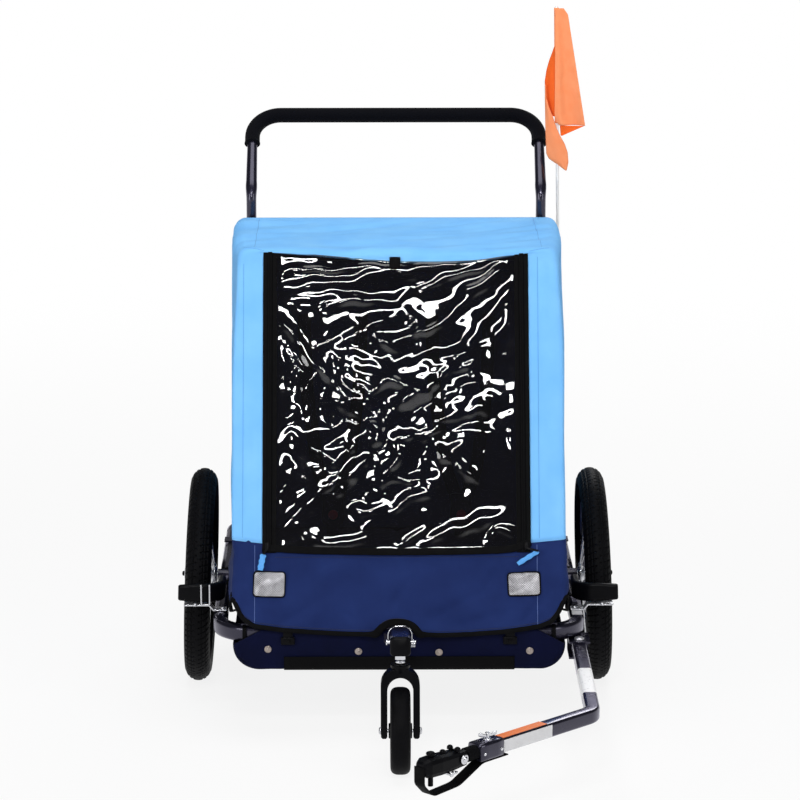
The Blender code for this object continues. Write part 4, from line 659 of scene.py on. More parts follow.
# Push bar: a bent 19 mm steel tube on two lugs of the rear hoop, pressed a little flat where it kinks back,
# with a sleeve of black closed-cell foam pushed over the top.
bar_half, bar_y, bar_low_z, bar_kink_z, bar_top_y, bar_top_z = 0.2788, 0.594616, 0.787, 0.885, 0.734616, 1.012
bar_side = [(bar_y, bar_low_z), (bar_y, bar_kink_z), (bar_top_y, bar_top_z)]
bar_corners = [(-bar_half, y, z) for y, z in bar_side] + [(bar_half, y, z) for y, z in reversed(bar_side)]
bar_line = bent(bar_corners, [0.05, 0.055, 0.055, 0.05])
bar_sizes = []
for point in bar_line:
    pressed = math.exp(-(((point.z - 0.892) / 0.014) ** 2))
    bar_sizes.append((1.0 + 0.16 * pressed, 1.0 - 0.14 * pressed))
bar = drawn(bar_line, round_tube(0.0095), up=(1, 0, 0), sizes=bar_sizes)
bar_bolts = []
for sign in (-1, 1):
    bar_bolts.append(
        button_head((sign * (bar_half + 0.0100), bar_y, bar_low_z), (sign, 0, 0), 0.0050, 0.0030)
    )
piece("push_bar_tube", joined(bar, *bar_bolts), powder_coat, "push_bar", "push_bar", slot="frame_paint")
# NBR foam, extruded with its cells left open by the cut: matt, nearly black, faintly speckled.
grip_foam = surface(
    "black foam grip", "#020308", "#0a0a10", 5.0, (0.82, 0.95), 1.1, 0.12,
    Sheen_Weight=0.03, Specular_IOR_Level=0.08,
)
down = (Vector(bar_corners[1]) - Vector(bar_corners[2])).normalized() * 0.072
left_top, right_top = Vector(bar_corners[2]), Vector(bar_corners[3])
grip_line = bent([left_top + down, left_top, right_top, right_top + down], [0.055, 0.055], 18)
lead = [grip_line[0].lerp(grip_line[1], t) for t in (0.0, 0.02, 0.08, 0.2, 0.6)]
tail = [grip_line[-1].lerp(grip_line[-2], t) for t in (0.6, 0.2, 0.08, 0.02, 0.0)]
grip_points = lead + grip_line[1:-1] + tail
grip_sizes = [0.96, 1.07, 1.05, 1.01, 1.0] + [1.0] * (len(grip_points) - 10) + [1.0, 1.01, 1.05, 1.07, 0.96]
grip = drawn(grip_points, round_tube(0.0144), up=(1, 0, 0), sizes=grip_sizes)
piece("push_bar_foam", grip, grip_foam, "push_bar", "push_bar_grip", slot="grip_foam", sharp=60.0)


# Cover: one sheet of light blue polyester, cut and sewn to shape. It runs up one side, over the roof and down
# the other side, and is turned in at the front to frame the window. It is stretched over the two hoops.
def woven(name, dark, pale, patch_mm, thread_mm, **sockets):
    """Plain-woven cloth laid out in metres by its UV map: two sets of threads, a drifting shade and a soft
    sheen."""
    made, tree = new_material(name)
    where = add(tree, "ShaderNodeTexCoord")
    laid_out = add(tree, "ShaderNodeSeparateXYZ", {0: where.outputs["UV"]})
    waves = []
    for axis in ("X", "Y"):
        turns = reckoned(tree, "MULTIPLY", laid_out.outputs[axis], 2000.0 * math.pi / thread_mm)
        waves.append(reckoned(tree, "SINE", turns))
    weave = reckoned(tree, "MULTIPLY", *waves)
    drift = add(
        tree, "ShaderNodeTexNoise", {
            "Vector": where.outputs["Object"], "Scale": 1000.0 / patch_mm, "Detail": 5.0
        }
    )
    slubs = reckoned(tree, "MULTIPLY_ADD", weave, 0.06, drift.outputs["Fac"])
    relief = add(tree, "ShaderNodeBump", {"Height": weave, "Strength": 0.35, "Distance": 0.00012})
    values = {key.replace("_", " "): value for key, value in sockets.items()}
    coated(tree, {"Base Color": between(tree, slubs, dark, pale), "Normal": relief.outputs[0], **values})
    return made


# Polyester, plain woven and coated: an even light blue, a little paler where the light runs along a fold.
# Its 0.4 mm threads would not show, so they are drawn 1.6 mm apart.
blue_polyester = woven(
    "light blue woven polyester", "#70b8fb", "#8bcdff", 70.0, 1.6, Roughness=0.8, Specular_IOR_Level=0.08
)
navy_polyester = woven(
    "navy woven polyester", "#13214f", "#21346c", 60.0, 1.6,
    Roughness=0.78, Sheen_Weight=0.03, Specular_IOR_Level=0.1,
)
# The tub's navy: the same navy cloth, painted much darker as the shade that it hangs in under the cover and
# the rails.
navy_in_painted_shade = woven(
    "navy polyester in painted shade", "#02051c", "#050b30", 50.0, 1.6,
    Roughness=0.7, Sheen_Weight=0.02, Specular_IOR_Level=0.08,
)
# Polyester sewing thread, twisted: a darker line along each seam. The 0.4 mm thread is drawn about 1 mm thick
# to show.
blue_thread = surface("blue sewing thread", "#3f86d0", "#559ae0", 6.0, (0.6, 0.75), 1.0, 0.05)
navy_thread = surface("navy sewing thread", "#0a1130", "#101a44", 6.0, (0.6, 0.75), 1.0, 0.05)
pale_thread = surface("pale blue sewing thread", "#41599a", "#6a82b8", 4.0, (0.6, 0.75), 1.0, 0.05)


front_foot_y, front_foot_z, front_slope = -0.080384, 0.19, 0.4166667


def front_y(z):
    """The plane of the sloping front, from the hem to the roof's edge."""
    return front_foot_y + front_slope * (z - front_foot_z)


roof_front_z, rear_post_y, boot_end_y, boot_top_z, boot_fold_z = 0.838, 0.568416, 0.734616, 0.600, 0.350


def rear_y(z):
    """The rear outline: upright behind the posts, then sloping out over the boot."""
    share = min(1.0, max(0.0, (boot_top_z - z) / (boot_top_z - boot_fold_z)))
    return rear_post_y + (boot_end_y - rear_post_y) * share


def roof_z(y):
    return roof_front_z - 0.002 * (y - 0.189616) / 0.3788


def eased(value):
    value = min(1.0, max(0.0, value))
    return value * value * (3.0 - 2.0 * value)


def half_width(y, z):
    share = min(1.0, max(0.0, (y - front_y(z)) / (rear_post_y - front_y(z))))
    front = 0.2990 - 0.0068 * eased((z - 0.62) / 0.2)
    return front + (0.3105 - front) * (1.0 - (1.0 - share) ** 2.2)


front_out = Vector((0.0, -0.923077, 0.384615))


def on_front(x, z, lift=0.0):
    """A point of the sloping front, lifted off it."""
    return Vector((x, front_y(z), z)) + front_out * lift


def drifting(x, y, z):
    """A soft random height between -1 and 1, the same at each run."""
    return noise.noise(Vector((x, y, z)))


def curved(start, corner, end, f):
    """A point of the curve that leaves start towards corner and comes in to end."""
    return start * (1 - f) ** 2 + corner * 2 * f * (1 - f) + end * f * f


def read_off(points, x, reach):
    """The height at x of the line through points, its corners rounded over reach to each side."""
    places, heights = zip(*points)
    return sum(float(np.interp(x + reach * n / 2, places, heights)) for n in range(-2, 3)) / 5.0


def settled(thing):
    """The mesh that the object's modifiers give. They are taken off."""
    graph = bpy.context.evaluated_depsgraph_get()
    mesh = bpy.data.meshes.new_from_object(thing.evaluated_get(graph))
    thing.modifiers.clear()
    return mesh


def cloth(name, rows, look, body, *stands_for, slot=None, thick=0.0012, ruffle=None):
    """A thin sheet from a grid of points, with a UV map in metres. ruffle moves a point along the sheet's
    normal."""
    spots = np.array([[tuple(p) for p in row] for row in rows], float)
    high, wide = spots.shape[:2]
    down = np.gradient(spots, axis=0)
    across = np.gradient(spots, axis=1)
    normal = np.cross(across, down)
    normal /= np.maximum(np.linalg.norm(normal, axis=2, keepdims=True), 1e-9)
    if ruffle:
        lift = [
            [ruffle(Vector(p), i / (high - 1), j / (wide - 1)) for j, p in enumerate(row)]
            for i, row in enumerate(spots)
        ]
        spots = spots + normal * np.array(lift)[:, :, None]
    run = np.zeros((high, wide))
    fall = np.zeros((high, wide))
    run[:, 1:] = np.cumsum(np.linalg.norm(np.diff(spots, axis=1), axis=2), axis=1)
    fall[1:, :] = np.cumsum(np.linalg.norm(np.diff(spots, axis=0), axis=2), axis=0)
    mesh = bpy.data.meshes.new(name)
    faces = []
    for i in range(high - 1):
        for j in range(wide - 1):
            faces.append((i * wide + j, i * wide + j + 1, (i + 1) * wide + j + 1, (i + 1) * wide + j))
    mesh.from_pydata(spots.reshape(-1, 3).tolist(), [], faces)
    layer = mesh.uv_layers.new(name="cut")
    index = np.empty(len(mesh.loops), np.int32)
    mesh.loops.foreach_get("vertex_index", index)
    flat = np.stack([run.reshape(-1)[index], fall.reshape(-1)[index]], axis=1)
    layer.data.foreach_set("uv", flat.astype(np.float32).reshape(-1))
    mesh.shade_smooth()
    thing = placed(name, mesh, look)
    solid = thing.modifiers.new("cloth thickness", "SOLIDIFY")
    solid.thickness, solid.offset = thick, 0.0
    thing.data = settled(thing)
    return enrolled(thing, body, stands_for)


def laid_on(sheets, points, lift, out=None):
    """The points moved along out onto the first sheet that they meet, then lifted off it."""
    out = front_out if out is None else Vector(out)
    trees = [
        BVHTree.FromPolygons(
            [v.co for v in s.data.vertices], [p.vertices for p in s.data.polygons]
        ) for s in sheets
    ]
    moved = []
    for point in points:
        start = Vector(point) + out * 0.03
        hits = [hit for hit in (t.ray_cast(start, -out, 0.06) for t in trees) if hit[0] is not None]
        spot = min(hits, key=lambda hit: hit[3])[0] if hits else Vector(point)
        moved.append(spot + out * lift)
    return moved


def folds_with_frame(*things):
    """Gives each piece a copy of its mesh, shared with no other object."""
    for thing in things:
        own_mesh(thing)


shoulder = 0.023
window_left, window_right = -0.2442, 0.2362
# The window's top edge. Its points were read by eye as pixels on the photograph, and a scratch script turned
# them into metres with the solved camera. So were those of its lower edge, the apron's hem, the corner seams,
# the patches, the zip cords, the press studs and the flag. A few were then changed.
window_top = [(-0.2442, 0.8350), (-0.2197, 0.8325), (-0.1271, 0.8256), (-0.0218, 0.8165), (0.0400, 0.8152)]
window_top += [(0.0727, 0.8150), (0.1417, 0.8172), (0.1999, 0.8253), (0.2362, 0.8340)]
cover_low_z = 0.3475


def top_edge(x):
    """The window's top edge hangs lower in the middle, where the roof's front edge droops."""
    return read_off(window_top, x, 0.02)


def arch_points():
    """Where the sheet runs over the hoops, as (kind, side, place) from the left side over the roof to the
    right."""
    side = [("side", -1, t / 52) for t in range(52)]
    left = [("shoulder", -1, t / 12) for t in range(12)]
    roof = [("roof", 0, -1.0 + 2.0 * t / 80) for t in range(81)]
    right = [("shoulder", 1, 1.0 - t / 12) for t in range(1, 13)]
    far = [("side", 1, 1.0 - t / 52) for t in range(1, 53)]
    return side + left + roof + right + far


def on_arch(kind, sign, t, v):
    """A point of the sheet, v from the front edge at 0 to the rear edge at 1."""
    if kind == "side":
        z = cover_low_z + (roof_front_z - shoulder - cover_low_z) * t
        y = front_y(z) + (rear_y(z) - front_y(z)) * v
        return Vector((sign * half_width(y, z), y, z + (roof_z(y) - roof_front_z) * t * t))
    start = front_y(roof_front_z)
    if kind == "shoulder":
        turn = math.pi / 2 * t
        z = roof_front_z - shoulder * (1.0 - math.sin(turn))
        start = front_y(z)
        y = start + (rear_post_y - start) * v
        wide = half_width(y, z) - shoulder * (1.0 - math.cos(turn))
        return Vector((sign * wide, y, z + roof_z(y) - roof_front_z))
    y = start + (rear_post_y - start) * v
    x = (half_width(y, roof_front_z) - shoulder) * t
    dip = 0.006 * math.sin(math.pi * v) * (1.0 - t * t)
    return Vector((x, y, roof_z(y) - dip))


def window_edge(kind, sign, t):
    """The point of the window's opening that the sheet's front edge is turned in to."""
    edge = window_left if sign < 0 else window_right
    corner = top_edge(edge) - 0.010
    if kind == "side":
        x, z = edge, cover_low_z - 0.0055 + (corner - cover_low_z + 0.0055) * t
    elif kind == "shoulder":
        if t < 0.5:
            x, z = edge, corner + 0.020 * t
        else:
            x = edge - sign * 0.010 * (2.0 * t - 1.0)
            z = top_edge(x)
    else:
        middle, half = (window_left + window_right) / 2, (window_right - window_left) / 2 - 0.010
        x = middle + half * t
        z = top_edge(x)
    return Vector((x, front_y(z), z))


def cover_rows():
    rows = []
    for kind, sign, t in arch_points():
        edge = on_arch(kind, sign, t, 0.0)
        goal = window_edge(kind, sign, t)
        bend = 0.009 if kind == "side" else 0.013
        inward = (goal - edge).normalized()
        turn_in = min(bend, 0.6 * (goal - edge).length)
        back = (on_arch(kind, sign, t, 0.1) - edge).normalized()
        row = [goal.lerp(edge + inward * turn_in, s / 13) for s in range(13)]
        row += [curved(edge + inward * turn_in, edge, edge + back * bend, s / 7) for s in range(8)]
        begin = bend / (on_arch(kind, sign, t, 1.0) - edge).length
        row += [on_arch(kind, sign, t, begin + (1.0 - begin) * s / 52) for s in range(1, 53)]
        rows.append(row)
    return rows


def cover_ruffle(p, i, j):
    """Long soft folds: upright in the strips and the sides, and slanting across the roof."""
    slant = drifting(p.x * 3.0 + p.y * 5.0, p.y * 17.0 - p.x * 8.0, 1.7)
    fine = drifting(p.x * 9.0 + p.y * 8.0, p.y * 34.0 - p.x * 17.0, 5.1)
    on_roof = (0.0080 * slant + 0.0034 * fine) * eased((0.566 - p.y) / 0.06)
    upright = drifting(p.x * 62.0 + p.z * 4.0, p.y * 22.0, p.z * 4.0)
    slow = drifting(p.x * 9.0, p.y * 7.0, p.z * 9.0 + 3.0)
    pull = drifting(p.x * 30.0 - p.z * 46.0, p.y * 12.0, p.z * 30.0 + abs(p.x) * 20.0)
    ahead = eased((0.290 - abs(p.x)) / 0.02)
    on_side = (0.0010 + 0.0014 * ahead) * upright + 0.0024 * slow + 0.0028 * pull * ahead
    share = eased((p.z - 0.815) / 0.02)
    calm = 0.45 + 0.55 * eased(j / 0.15)
    return (on_side * (1.0 - share) + on_roof * share) * calm


cover = cloth(
    "cover_light_blue",
    cover_rows(),
    blue_polyester,
    "frame",
    "roof",
    "side_panel_left",
    "side_panel_right",
    slot="light_blue_cloth",
    ruffle=cover_ruffle,
)
seams = [
    [on_front(-0.2800, z) for z in np.linspace(0.352, 0.815, 110)],
    [on_front(0.2515 + 0.004 * (z - 0.35), z) for z in np.linspace(0.350, 0.826, 110)],
]
seams = [laid_on([cover], line, 0.0001) for line in seams]
for sign, x in ((-1, -0.262), (1, 0.262)):
    over = [Vector((x, y, 0.84)) for y in np.linspace(0.205, 0.56, 90)]
    seams.append(laid_on([cover], over, 0.0001, (0, 0, 1)))
for sign in (-1, 1):
    down_side = [Vector((sign * 0.31, rear_y(z) - 0.012, z)) for z in np.linspace(0.36, 0.80, 110)]
    seams.append(laid_on([cover], down_side, 0.0001, (sign, 0, 0)))
for a, b in (((-0.2815, 0.8456), (-0.2434, 0.8370)), ((0.2382, 0.8351), (0.2747, 0.8424))):
    corner = [on_front(a[0] + (b[0] - a[0]) * t, a[1] + (b[1] - a[1]) * t) for t in np.linspace(0.0, 1.0, 14)]
    seams.append(laid_on([cover], corner, 0.0001))
seam_lines = [drawn(line, round_tube(0.0004, 6), up=(1, 0.3, 0)) for line in seams]
cover_seams = piece("cover_seams", joined(*seam_lines), blue_thread, "frame", slot="light_blue_cloth")


# Rear panel: navy polyester sewn between the sides, upright behind the posts and then out over the boot,
# with a black binding along its lower hem.
def rear_rows():
    rows = []
    top = roof_z(0.568) - 0.0035
    for i in range(90):
        z = top + (0.2112 - top) * i / 89
        y = rear_y(z) - 0.0025
        wide = half_width(y, z) - 0.0030
        if z > top - shoulder:
            turn = math.asin(min(1.0, (z - top + shoulder) / shoulder))
            wide -= shoulder * (1.0 - math.cos(turn))
        rows.append([Vector((wide * (1.0 - j / 36), y, z)) for j in range(73)])
    return rows


def rear_ruffle(p, i, j):
    slow = drifting(p.x * 8.0, 2.0, p.z * 16.0)
    return 0.0018 * slow + 0.0007 * drifting(p.x * 40.0, 7.0, p.z * 30.0)


rear = cloth(
    "rear_panel_navy",
    rear_rows(),
    navy_polyester,
    "frame",
    "rear_panel",
    slot="navy_cloth",
    ruffle=rear_ruffle,
)
rear_seams = []
for z in (0.6015, 0.5975, 0.3515, 0.3475):
    across = [Vector((x, rear_y(z), z)) for x in np.linspace(-0.300, 0.300, 120)]
    rear_seams.append(
        drawn(laid_on([rear], across, 0.0001, (0, 1, 0.01)), round_tube(0.0006, 6), up=(0, 1, 0))
    )
rear_seams = piece("rear_panel_seams", joined(*rear_seams), navy_thread, "frame", slot="navy_cloth")


# Window: a clear PVC sheet in a frame of black zip tape, which opens from the bottom and rolls up.
# The film is crumpled, so it mirrors the softboxes in bright lines along its creases.
pane_left, pane_right, pane_low = -0.2245, 0.2160, 0.3300


def crumpled(x, z, pitch, seed):
    """Heights of a sheet crumpled into flat facets about pitch across, from -1 to 1."""
    table = np.random.RandomState(seed).uniform(-1.0, 1.0, (64, 64))
    skew = (x + z) * 0.366
    a, b = (x + skew) / pitch, (z + skew) / pitch
    i, j = np.floor(a).astype(int), np.floor(b).astype(int)
    a, b = a - i, b - j
    i, j = i % 64, j % 64
    near, far = table[i, j], table[(i + 1) % 64, (j + 1) % 64]
    beside = np.where(a > b, table[(i + 1) % 64, j], table[i, (j + 1) % 64])
    return near + np.maximum(a, b) * (beside - near) + np.minimum(a, b) * (far - beside)


def softened(heights, reach):
    """Rounds the creases over reach steps of the grid."""
    weights = np.exp(-0.5 * (np.arange(-4, 5) / reach) ** 2)
    weights /= weights.sum()
    for turn in (0, 1):
        wide = np.pad(heights, ((0, 0), (4, 4)), mode="edge")
        heights = sum(k * wide[:, n : n + heights.shape[1]] for n, k in enumerate(weights)).T
    return heights


# The film's long folds: height and half width in millimetres, and the points that each ridge runs through.
# Their places were read like the window's top edge, then thinned out and rounded to 5 mm.
pane_folds = [
    (3.5, 7.0, [(-0.23, 0.80), (-0.02, 0.81), (0.10, 0.82)]),
    (3.5, 7.0, [(-0.10, 0.79), (0.065, 0.81), (0.14, 0.825)]),
    (3.0, 6.0, [(0.045, 0.775), (0.17, 0.815), (0.21, 0.825)]),
    (3.0, 6.0, [(0.11, 0.76), (0.195, 0.81)]),
    (3.0, 11.0, [(-0.22, 0.775), (-0.02, 0.785), (0.14, 0.815)]),
    (2.5, 9.0, [(-0.205, 0.76), (-0.06, 0.755), (0.0, 0.75), (0.02, 0.77)]),
    (2.5, 8.0, [(-0.15, 0.735), (-0.055, 0.755)]),
    (3.5, 10.0, [(0.195, 0.805), (0.115, 0.745), (0.08, 0.71), (-0.035, 0.68)]),
    (3.0, 10.0, [(0.21, 0.78), (0.135, 0.695), (0.11, 0.665)]),
    (2.5, 9.0, [(0.21, 0.77), (0.195, 0.725), (0.17, 0.66)]),
    (2.5, 9.0, [(0.015, 0.73), (0.035, 0.715), (0.03, 0.69)]),
    (2.5, 10.0, [(-0.115, 0.68), (-0.015, 0.72)]),
    (2.5, 9.0, [(-0.075, 0.68), (-0.05, 0.695), (0.01, 0.665)]),
    (4.5, 11.0, [(-0.22, 0.725), (-0.18, 0.675), (-0.135, 0.63), (-0.095, 0.59)]),
    (2.5, 9.0, [(-0.14, 0.675), (-0.06, 0.625), (0.03, 0.60)]),
    (2.5, 9.0, [(-0.11, 0.63), (-0.05, 0.60), (-0.01, 0.615)]),
    (2.5, 10.0, [(0.005, 0.64), (0.065, 0.655), (0.16, 0.67)]),
    (3.0, 9.0, [(0.11, 0.635), (0.135, 0.645), (0.14, 0.61), (0.115, 0.60)]),
    (2.5, 8.0, [(-0.205, 0.67), (-0.185, 0.64), (-0.205, 0.60)]),
    (3.0, 8.0, [(-0.195, 0.64), (-0.155, 0.62), (-0.18, 0.59)]),
    (2.5, 9.0, [(0.21, 0.625), (0.21, 0.53), (0.205, 0.49)]),
    (3.0, 11.0, [(-0.16, 0.59), (-0.105, 0.58), (0.02, 0.575)]),
    (2.5, 9.0, [(-0.10, 0.565), (-0.035, 0.555)]),
    (3.5, 13.0, [(-0.08, 0.505), (0.03, 0.59), (0.095, 0.63)]),
    (3.0, 11.0, [(0.065, 0.545), (0.13, 0.555), (0.17, 0.575)]),
    (3.0, 9.0, [(-0.06, 0.545), (-0.035, 0.53), (-0.045, 0.505)]),
    (2.5, 10.0, [(-0.005, 0.52), (0.16, 0.535)]),
    (2.5, 10.0, [(-0.19, 0.525), (-0.115, 0.48), (-0.075, 0.505)]),
    (3.0, 10.0, [(0.07, 0.495), (0.145, 0.44)]),
    (2.5, 9.0, [(0.0, 0.50), (-0.015, 0.465)]),
    (2.5, 10.0, [(-0.205, 0.475), (-0.195, 0.445), (-0.22, 0.415)]),
    (2.5, 10.0, [(-0.035, 0.44), (0.075, 0.455)]),
    (4.0, 12.0, [(-0.22, 0.365), (-0.115, 0.445), (-0.065, 0.475), (-0.035, 0.48)]),
    (2.5, 10.0, [(-0.205, 0.355), (-0.105, 0.425), (-0.08, 0.455)]),
    (2.5, 10.0, [(-0.02, 0.39), (0.055, 0.43), (0.08, 0.46)]),
    (2.5, 10.0, [(-0.085, 0.395), (-0.035, 0.40)]),
    (2.5, 10.0, [(-0.17, 0.36), (-0.12, 0.34), (-0.06, 0.345), (-0.04, 0.375)]),
    (2.5, 9.0, [(0.005, 0.345), (0.05, 0.365)]),
    (3.0, 10.0, [(0.04, 0.34), (0.14, 0.375), (0.19, 0.395)]),
    (2.5, 8.0, [(0.16, 0.345), (0.18, 0.365), (0.215, 0.35)]),
]


def folded(x, z, points, reach):
    """Height of a rounded fold along a line of points, from 0 to 1, lower towards its ends."""
    nearest, along, walked = np.full(x.shape, 9.0), np.zeros(x.shape), 0.0
    lengths = [math.dist(a, b) for a, b in zip(points[:-1], points[1:])]
    for (ax, az), (bx, bz), length in zip(points[:-1], points[1:], lengths):
        t = np.clip(((x - ax) * (bx - ax) + (z - az) * (bz - az)) / length**2, 0.0, 1.0)
        far = np.hypot(x - ax - t * (bx - ax), z - az - t * (bz - az))
        along = np.where(far < nearest, (walked + t * length) / sum(lengths), along)
        nearest = np.minimum(far, nearest)
        walked += length
    return np.exp(-((nearest / reach) ** 2)) * (
        0.35 + 0.65 * np.clip(np.minimum(along, 1.0 - along) / 0.18, 0.0, 1.0)
    )


def pane_rows():
    columns, lines = 290, 330
    across = np.linspace(pane_left, pane_right, columns)
    tops = np.array([top_edge(x) + 0.003 for x in across])
    share = np.linspace(0.0, 1.0, lines)[:, None]
    x = np.repeat(across[None, :], lines, axis=0)
    z = pane_low + (tops[None, :] - pane_low) * share
    bend_x = 0.0030 * np.sin(57.0 * z + 3.0 * np.sin(31.0 * x + 1.0)) + 0.0014 * np.sin(151.0 * z + 90.0 * x)
    bend_z = 0.0030 * np.sin(49.0 * x + 2.5 * np.sin(37.0 * z + 2.0)) + 0.0014 * np.sin(137.0 * x - 71.0 * z)
    u, v = x + bend_x, z + bend_z
    lift = 0.0020 * np.sin(11.0 * x + 1.0) * np.sin(13.0 * z + 0.5)
    for height, reach, points in pane_folds:
        lift += 0.001 * height * folded(u, v, points, 0.001 * reach)
    # The middle of the pane is crumpled into facets, longest along the pull, up to the right.
    middle = 1.15 * np.exp(-(((x + 0.065) / 0.16) ** 4 + ((z - 0.56) / 0.155) ** 4))
    middle = np.clip(middle + np.exp(-(((x - 0.10) / 0.075) ** 2 + ((z - 0.55) / 0.11) ** 2)), 0.0, 1.0)
    stretched, narrow = np.cos(0.49) * u + np.sin(0.49) * v, np.cos(0.49) * v - np.sin(0.49) * u
    lift += (0.0007 + 0.0027 * middle) * crumpled(stretched / 1.8, narrow, 0.038, 11)
    lift += (0.0002 + 0.0009 * middle) * crumpled(u, v, 0.018, 23)
    lift = softened(lift, 1.5)
    edge = np.minimum((x - pane_left) / 0.020, (pane_right - x) / 0.020)
    edge = np.minimum(edge, np.minimum((z - pane_low) / 0.010, (tops[None, :] - z) / 0.012))
    edge = np.clip(edge, 0.0, 1.0)
    lift = 0.0012 + lift * edge * (2.0 - edge)
    rows = []
    for i in range(lines):
        rows.append([on_front(x[i, j], z[i, j], lift[i, j]) for j in range(columns)])
    return rows


# PVC film, calendered clear and glossy as glass. Its near-black colour, only partly see-through, is painted
# shade: it stands in for the dark cabin behind the film, which looks almost black.
pvc_film, tree = new_material("clear PVC film")
where = add(tree, "ShaderNodeTexCoord").outputs["Object"]
haze = add(tree, "ShaderNodeTexNoise", {"Vector": where, "Scale": 22.0, "Detail": 3.0})
cabin_shade_tint = between(tree, haze.outputs["Fac"], "#020206", "#08080f")
veil = add(tree, "ShaderNodeMapRange", {"Value": haze.outputs["Fac"], "To Min": 0.50, "To Max": 0.64})
shine = {"Roughness": 0.03, "IOR": 1.54, "Specular IOR Level": 1.0}
coated(tree, {"Base Color": cabin_shade_tint, "Alpha": veil.outputs[0], **shine})
pane = cloth("window_film", pane_rows(), pvc_film, "frame", "window_pane", slot="window_film", thick=0.0005)

# Polyester zip tape and binding, woven in ribs along its length: a soft black.
black_tape = surface(
    "black woven tape", "#020203", "#08080a", 14.0, (0.62, 0.78), 1.2, 0.06, Specular_IOR_Level=0.08
)
tape_side = [
    (0.0125, 0.0000), (0.0121, 0.0012), (0.0062, 0.0013), (0.0048, 0.0008), (0.0034, 0.0028), (0.0012, 0.0034)
]
tape_outline = [*tape_side, (0.0000, 0.0027), *((-x, rise) for x, rise in reversed(tape_side))]
tapes = []
for sign, x in ((-1, -0.2322), (1, 0.2234)):
    line = []
    top = top_edge(x) + 0.001
    for i in range(71):
        z = 0.326 + (top - 0.326) * i / 70
        waver = 0.0007 * drifting(sign * 3.0, z * 14.0, 0.0)
        line.append(on_front(x + waver, z, 0.0010))
    tapes.append(drawn(line, [(b, a) for a, b in tape_outline], up=front_out))
low_edge = [(-0.2450, 0.3290), (-0.2300, 0.3280), (-0.1600, 0.3240), (-0.0600, 0.3222), (0.0000, 0.3215)]
low_edge += [(0.0900, 0.3222), (0.1700, 0.3238), (0.2060, 0.3262), (0.2310, 0.3370), (0.2365, 0.3380)]


def pane_hem_z(x):
    return read_off(low_edge, x, 0.008) + 0.0005 * drifting(x * 40.0, 1.0, 0.0)


hem_line = [on_front(x, pane_hem_z(x) + 0.0055, 0.0034) for x in np.linspace(-0.2448, 0.2364, 110)]
tapes.append(drawn(hem_line, rounded(0.0026, 0.0130, 0.0011, 3), up=front_out))
clip_line = ((0.8045, 0.0010), (0.8065, 0.0046), (0.8150, 0.0066), (0.8225, 0.0046), (0.8245, 0.0015))
clip_line = [on_front(-0.0055, z, rise) for z, rise in clip_line]
tapes.append(drawn(clip_line, rounded(0.0040, 0.0200, 0.0016, 3), up=front_out))
band = piece(
    "window_zip_tape", joined(*tapes), black_tape, "frame", "window_band", slot="black_binding", sharp=30.0
)


# Apron: navy polyester below the window, which turns round the corners and runs back along both sides.
# Its hem is bound in black tape and arched over the caster's arm.
apron_half = 0.2987
hem_table = [
    (-apron_half, 0.2514), (-0.2803, 0.2150), (-0.2589, 0.2017), (-0.2054, 0.1949), (-0.1502, 0.1915)
]
hem_table += [(-0.0967, 0.1889), (-0.0540, 0.1878), (0.0458, 0.1872), (0.0743, 0.1860), (0.1260, 0.1876)]
hem_table += [(0.1830, 0.1911), (0.2241, 0.1964), (0.2509, 0.2005), (0.2724, 0.2087), (0.2869, 0.2269)]
hem_table += [(apron_half, 0.2551)]
arch_middle, arch_half, arch_rise = -0.0028, 0.0365, 0.0195


def hem_z(x):
    """Height of the hem across the front: level in the middle, rising to the corners, arched over the arm."""
    inside = [1.0 - min(1.0, abs(x + 0.002 * n - arch_middle) / arch_half) ** 2.4 for n in range(-2, 3)]
    return read_off(hem_table, x, 0.004) + arch_rise * sum(share**0.6 for share in inside) / 5.0


def apron_top(x):
    """Under the window it starts lower than behind the blue strips."""
    return 0.3310 + 0.0190 * eased((abs(x + 0.004) - 0.2330) / 0.0080)


def apron_columns():
    columns = [("side", -1, 1.0 - j / 56) for j in range(56)]
    columns += [("front", 0, x) for x in np.linspace(-apron_half, apron_half, 150)]
    return columns + [("side", 1, j / 56) for j in range(1, 57)]


def side_hem_z(t):
    return 0.2112 + (0.2530 - 0.2112) * max(0.0, 1.0 - 9.0 * t) ** 1.6


def apron_rows():
    rows = []
    for i in range(38):
        f = i / 37
        row = []
        for kind, sign, t in apron_columns():
            if kind == "front":
                top = apron_top(t)
                z = top + (hem_z(t) - top) * f
                spot = on_front(t, z, -0.0014)
                near = apron_half - abs(t)
                if near < 0.012:
                    spot.y += 0.0072 * (1.0 - near / 0.012) ** 2
                row.append(spot)
            else:
                z = 0.350 + (side_hem_z(t) - 0.350) * f
                y = front_y(z) + 0.0084 + (rear_y(z) - front_y(z) - 0.0084) * t
                row.append(Vector((sign * (half_width(y, z) - 0.0004), y, z)))
        rows.append(row)
    return rows


# The apron's plain folds: height and half width in millimetres, and the two ends of each.
apron_folds = [
    (3.4, 8.0, (-0.020, 0.228), (0.028, 0.292)),
    (3.6, 9.0, (0.052, 0.212), (0.150, 0.262)),
    (3.0, 8.0, (0.096, 0.204), (0.196, 0.226)),
    (3.2, 9.0, (0.140, 0.246), (0.186, 0.312)),
    (3.0, 7.0, (0.214, 0.206), (0.274, 0.262)),
    (2.6, 7.0, (0.228, 0.262), (0.262, 0.322)),
    (3.0, 9.0, (-0.216, 0.206), (-0.168, 0.232)),
    (2.8, 8.0, (-0.150, 0.300), (-0.092, 0.322)),
    (2.4, 7.0, (-0.076, 0.212), (-0.120, 0.236)),
    (3.0, 9.0, (-0.262, 0.230), (-0.276, 0.300)),
    (2.6, 8.0, (-0.030, 0.302), (0.060, 0.318)),
]


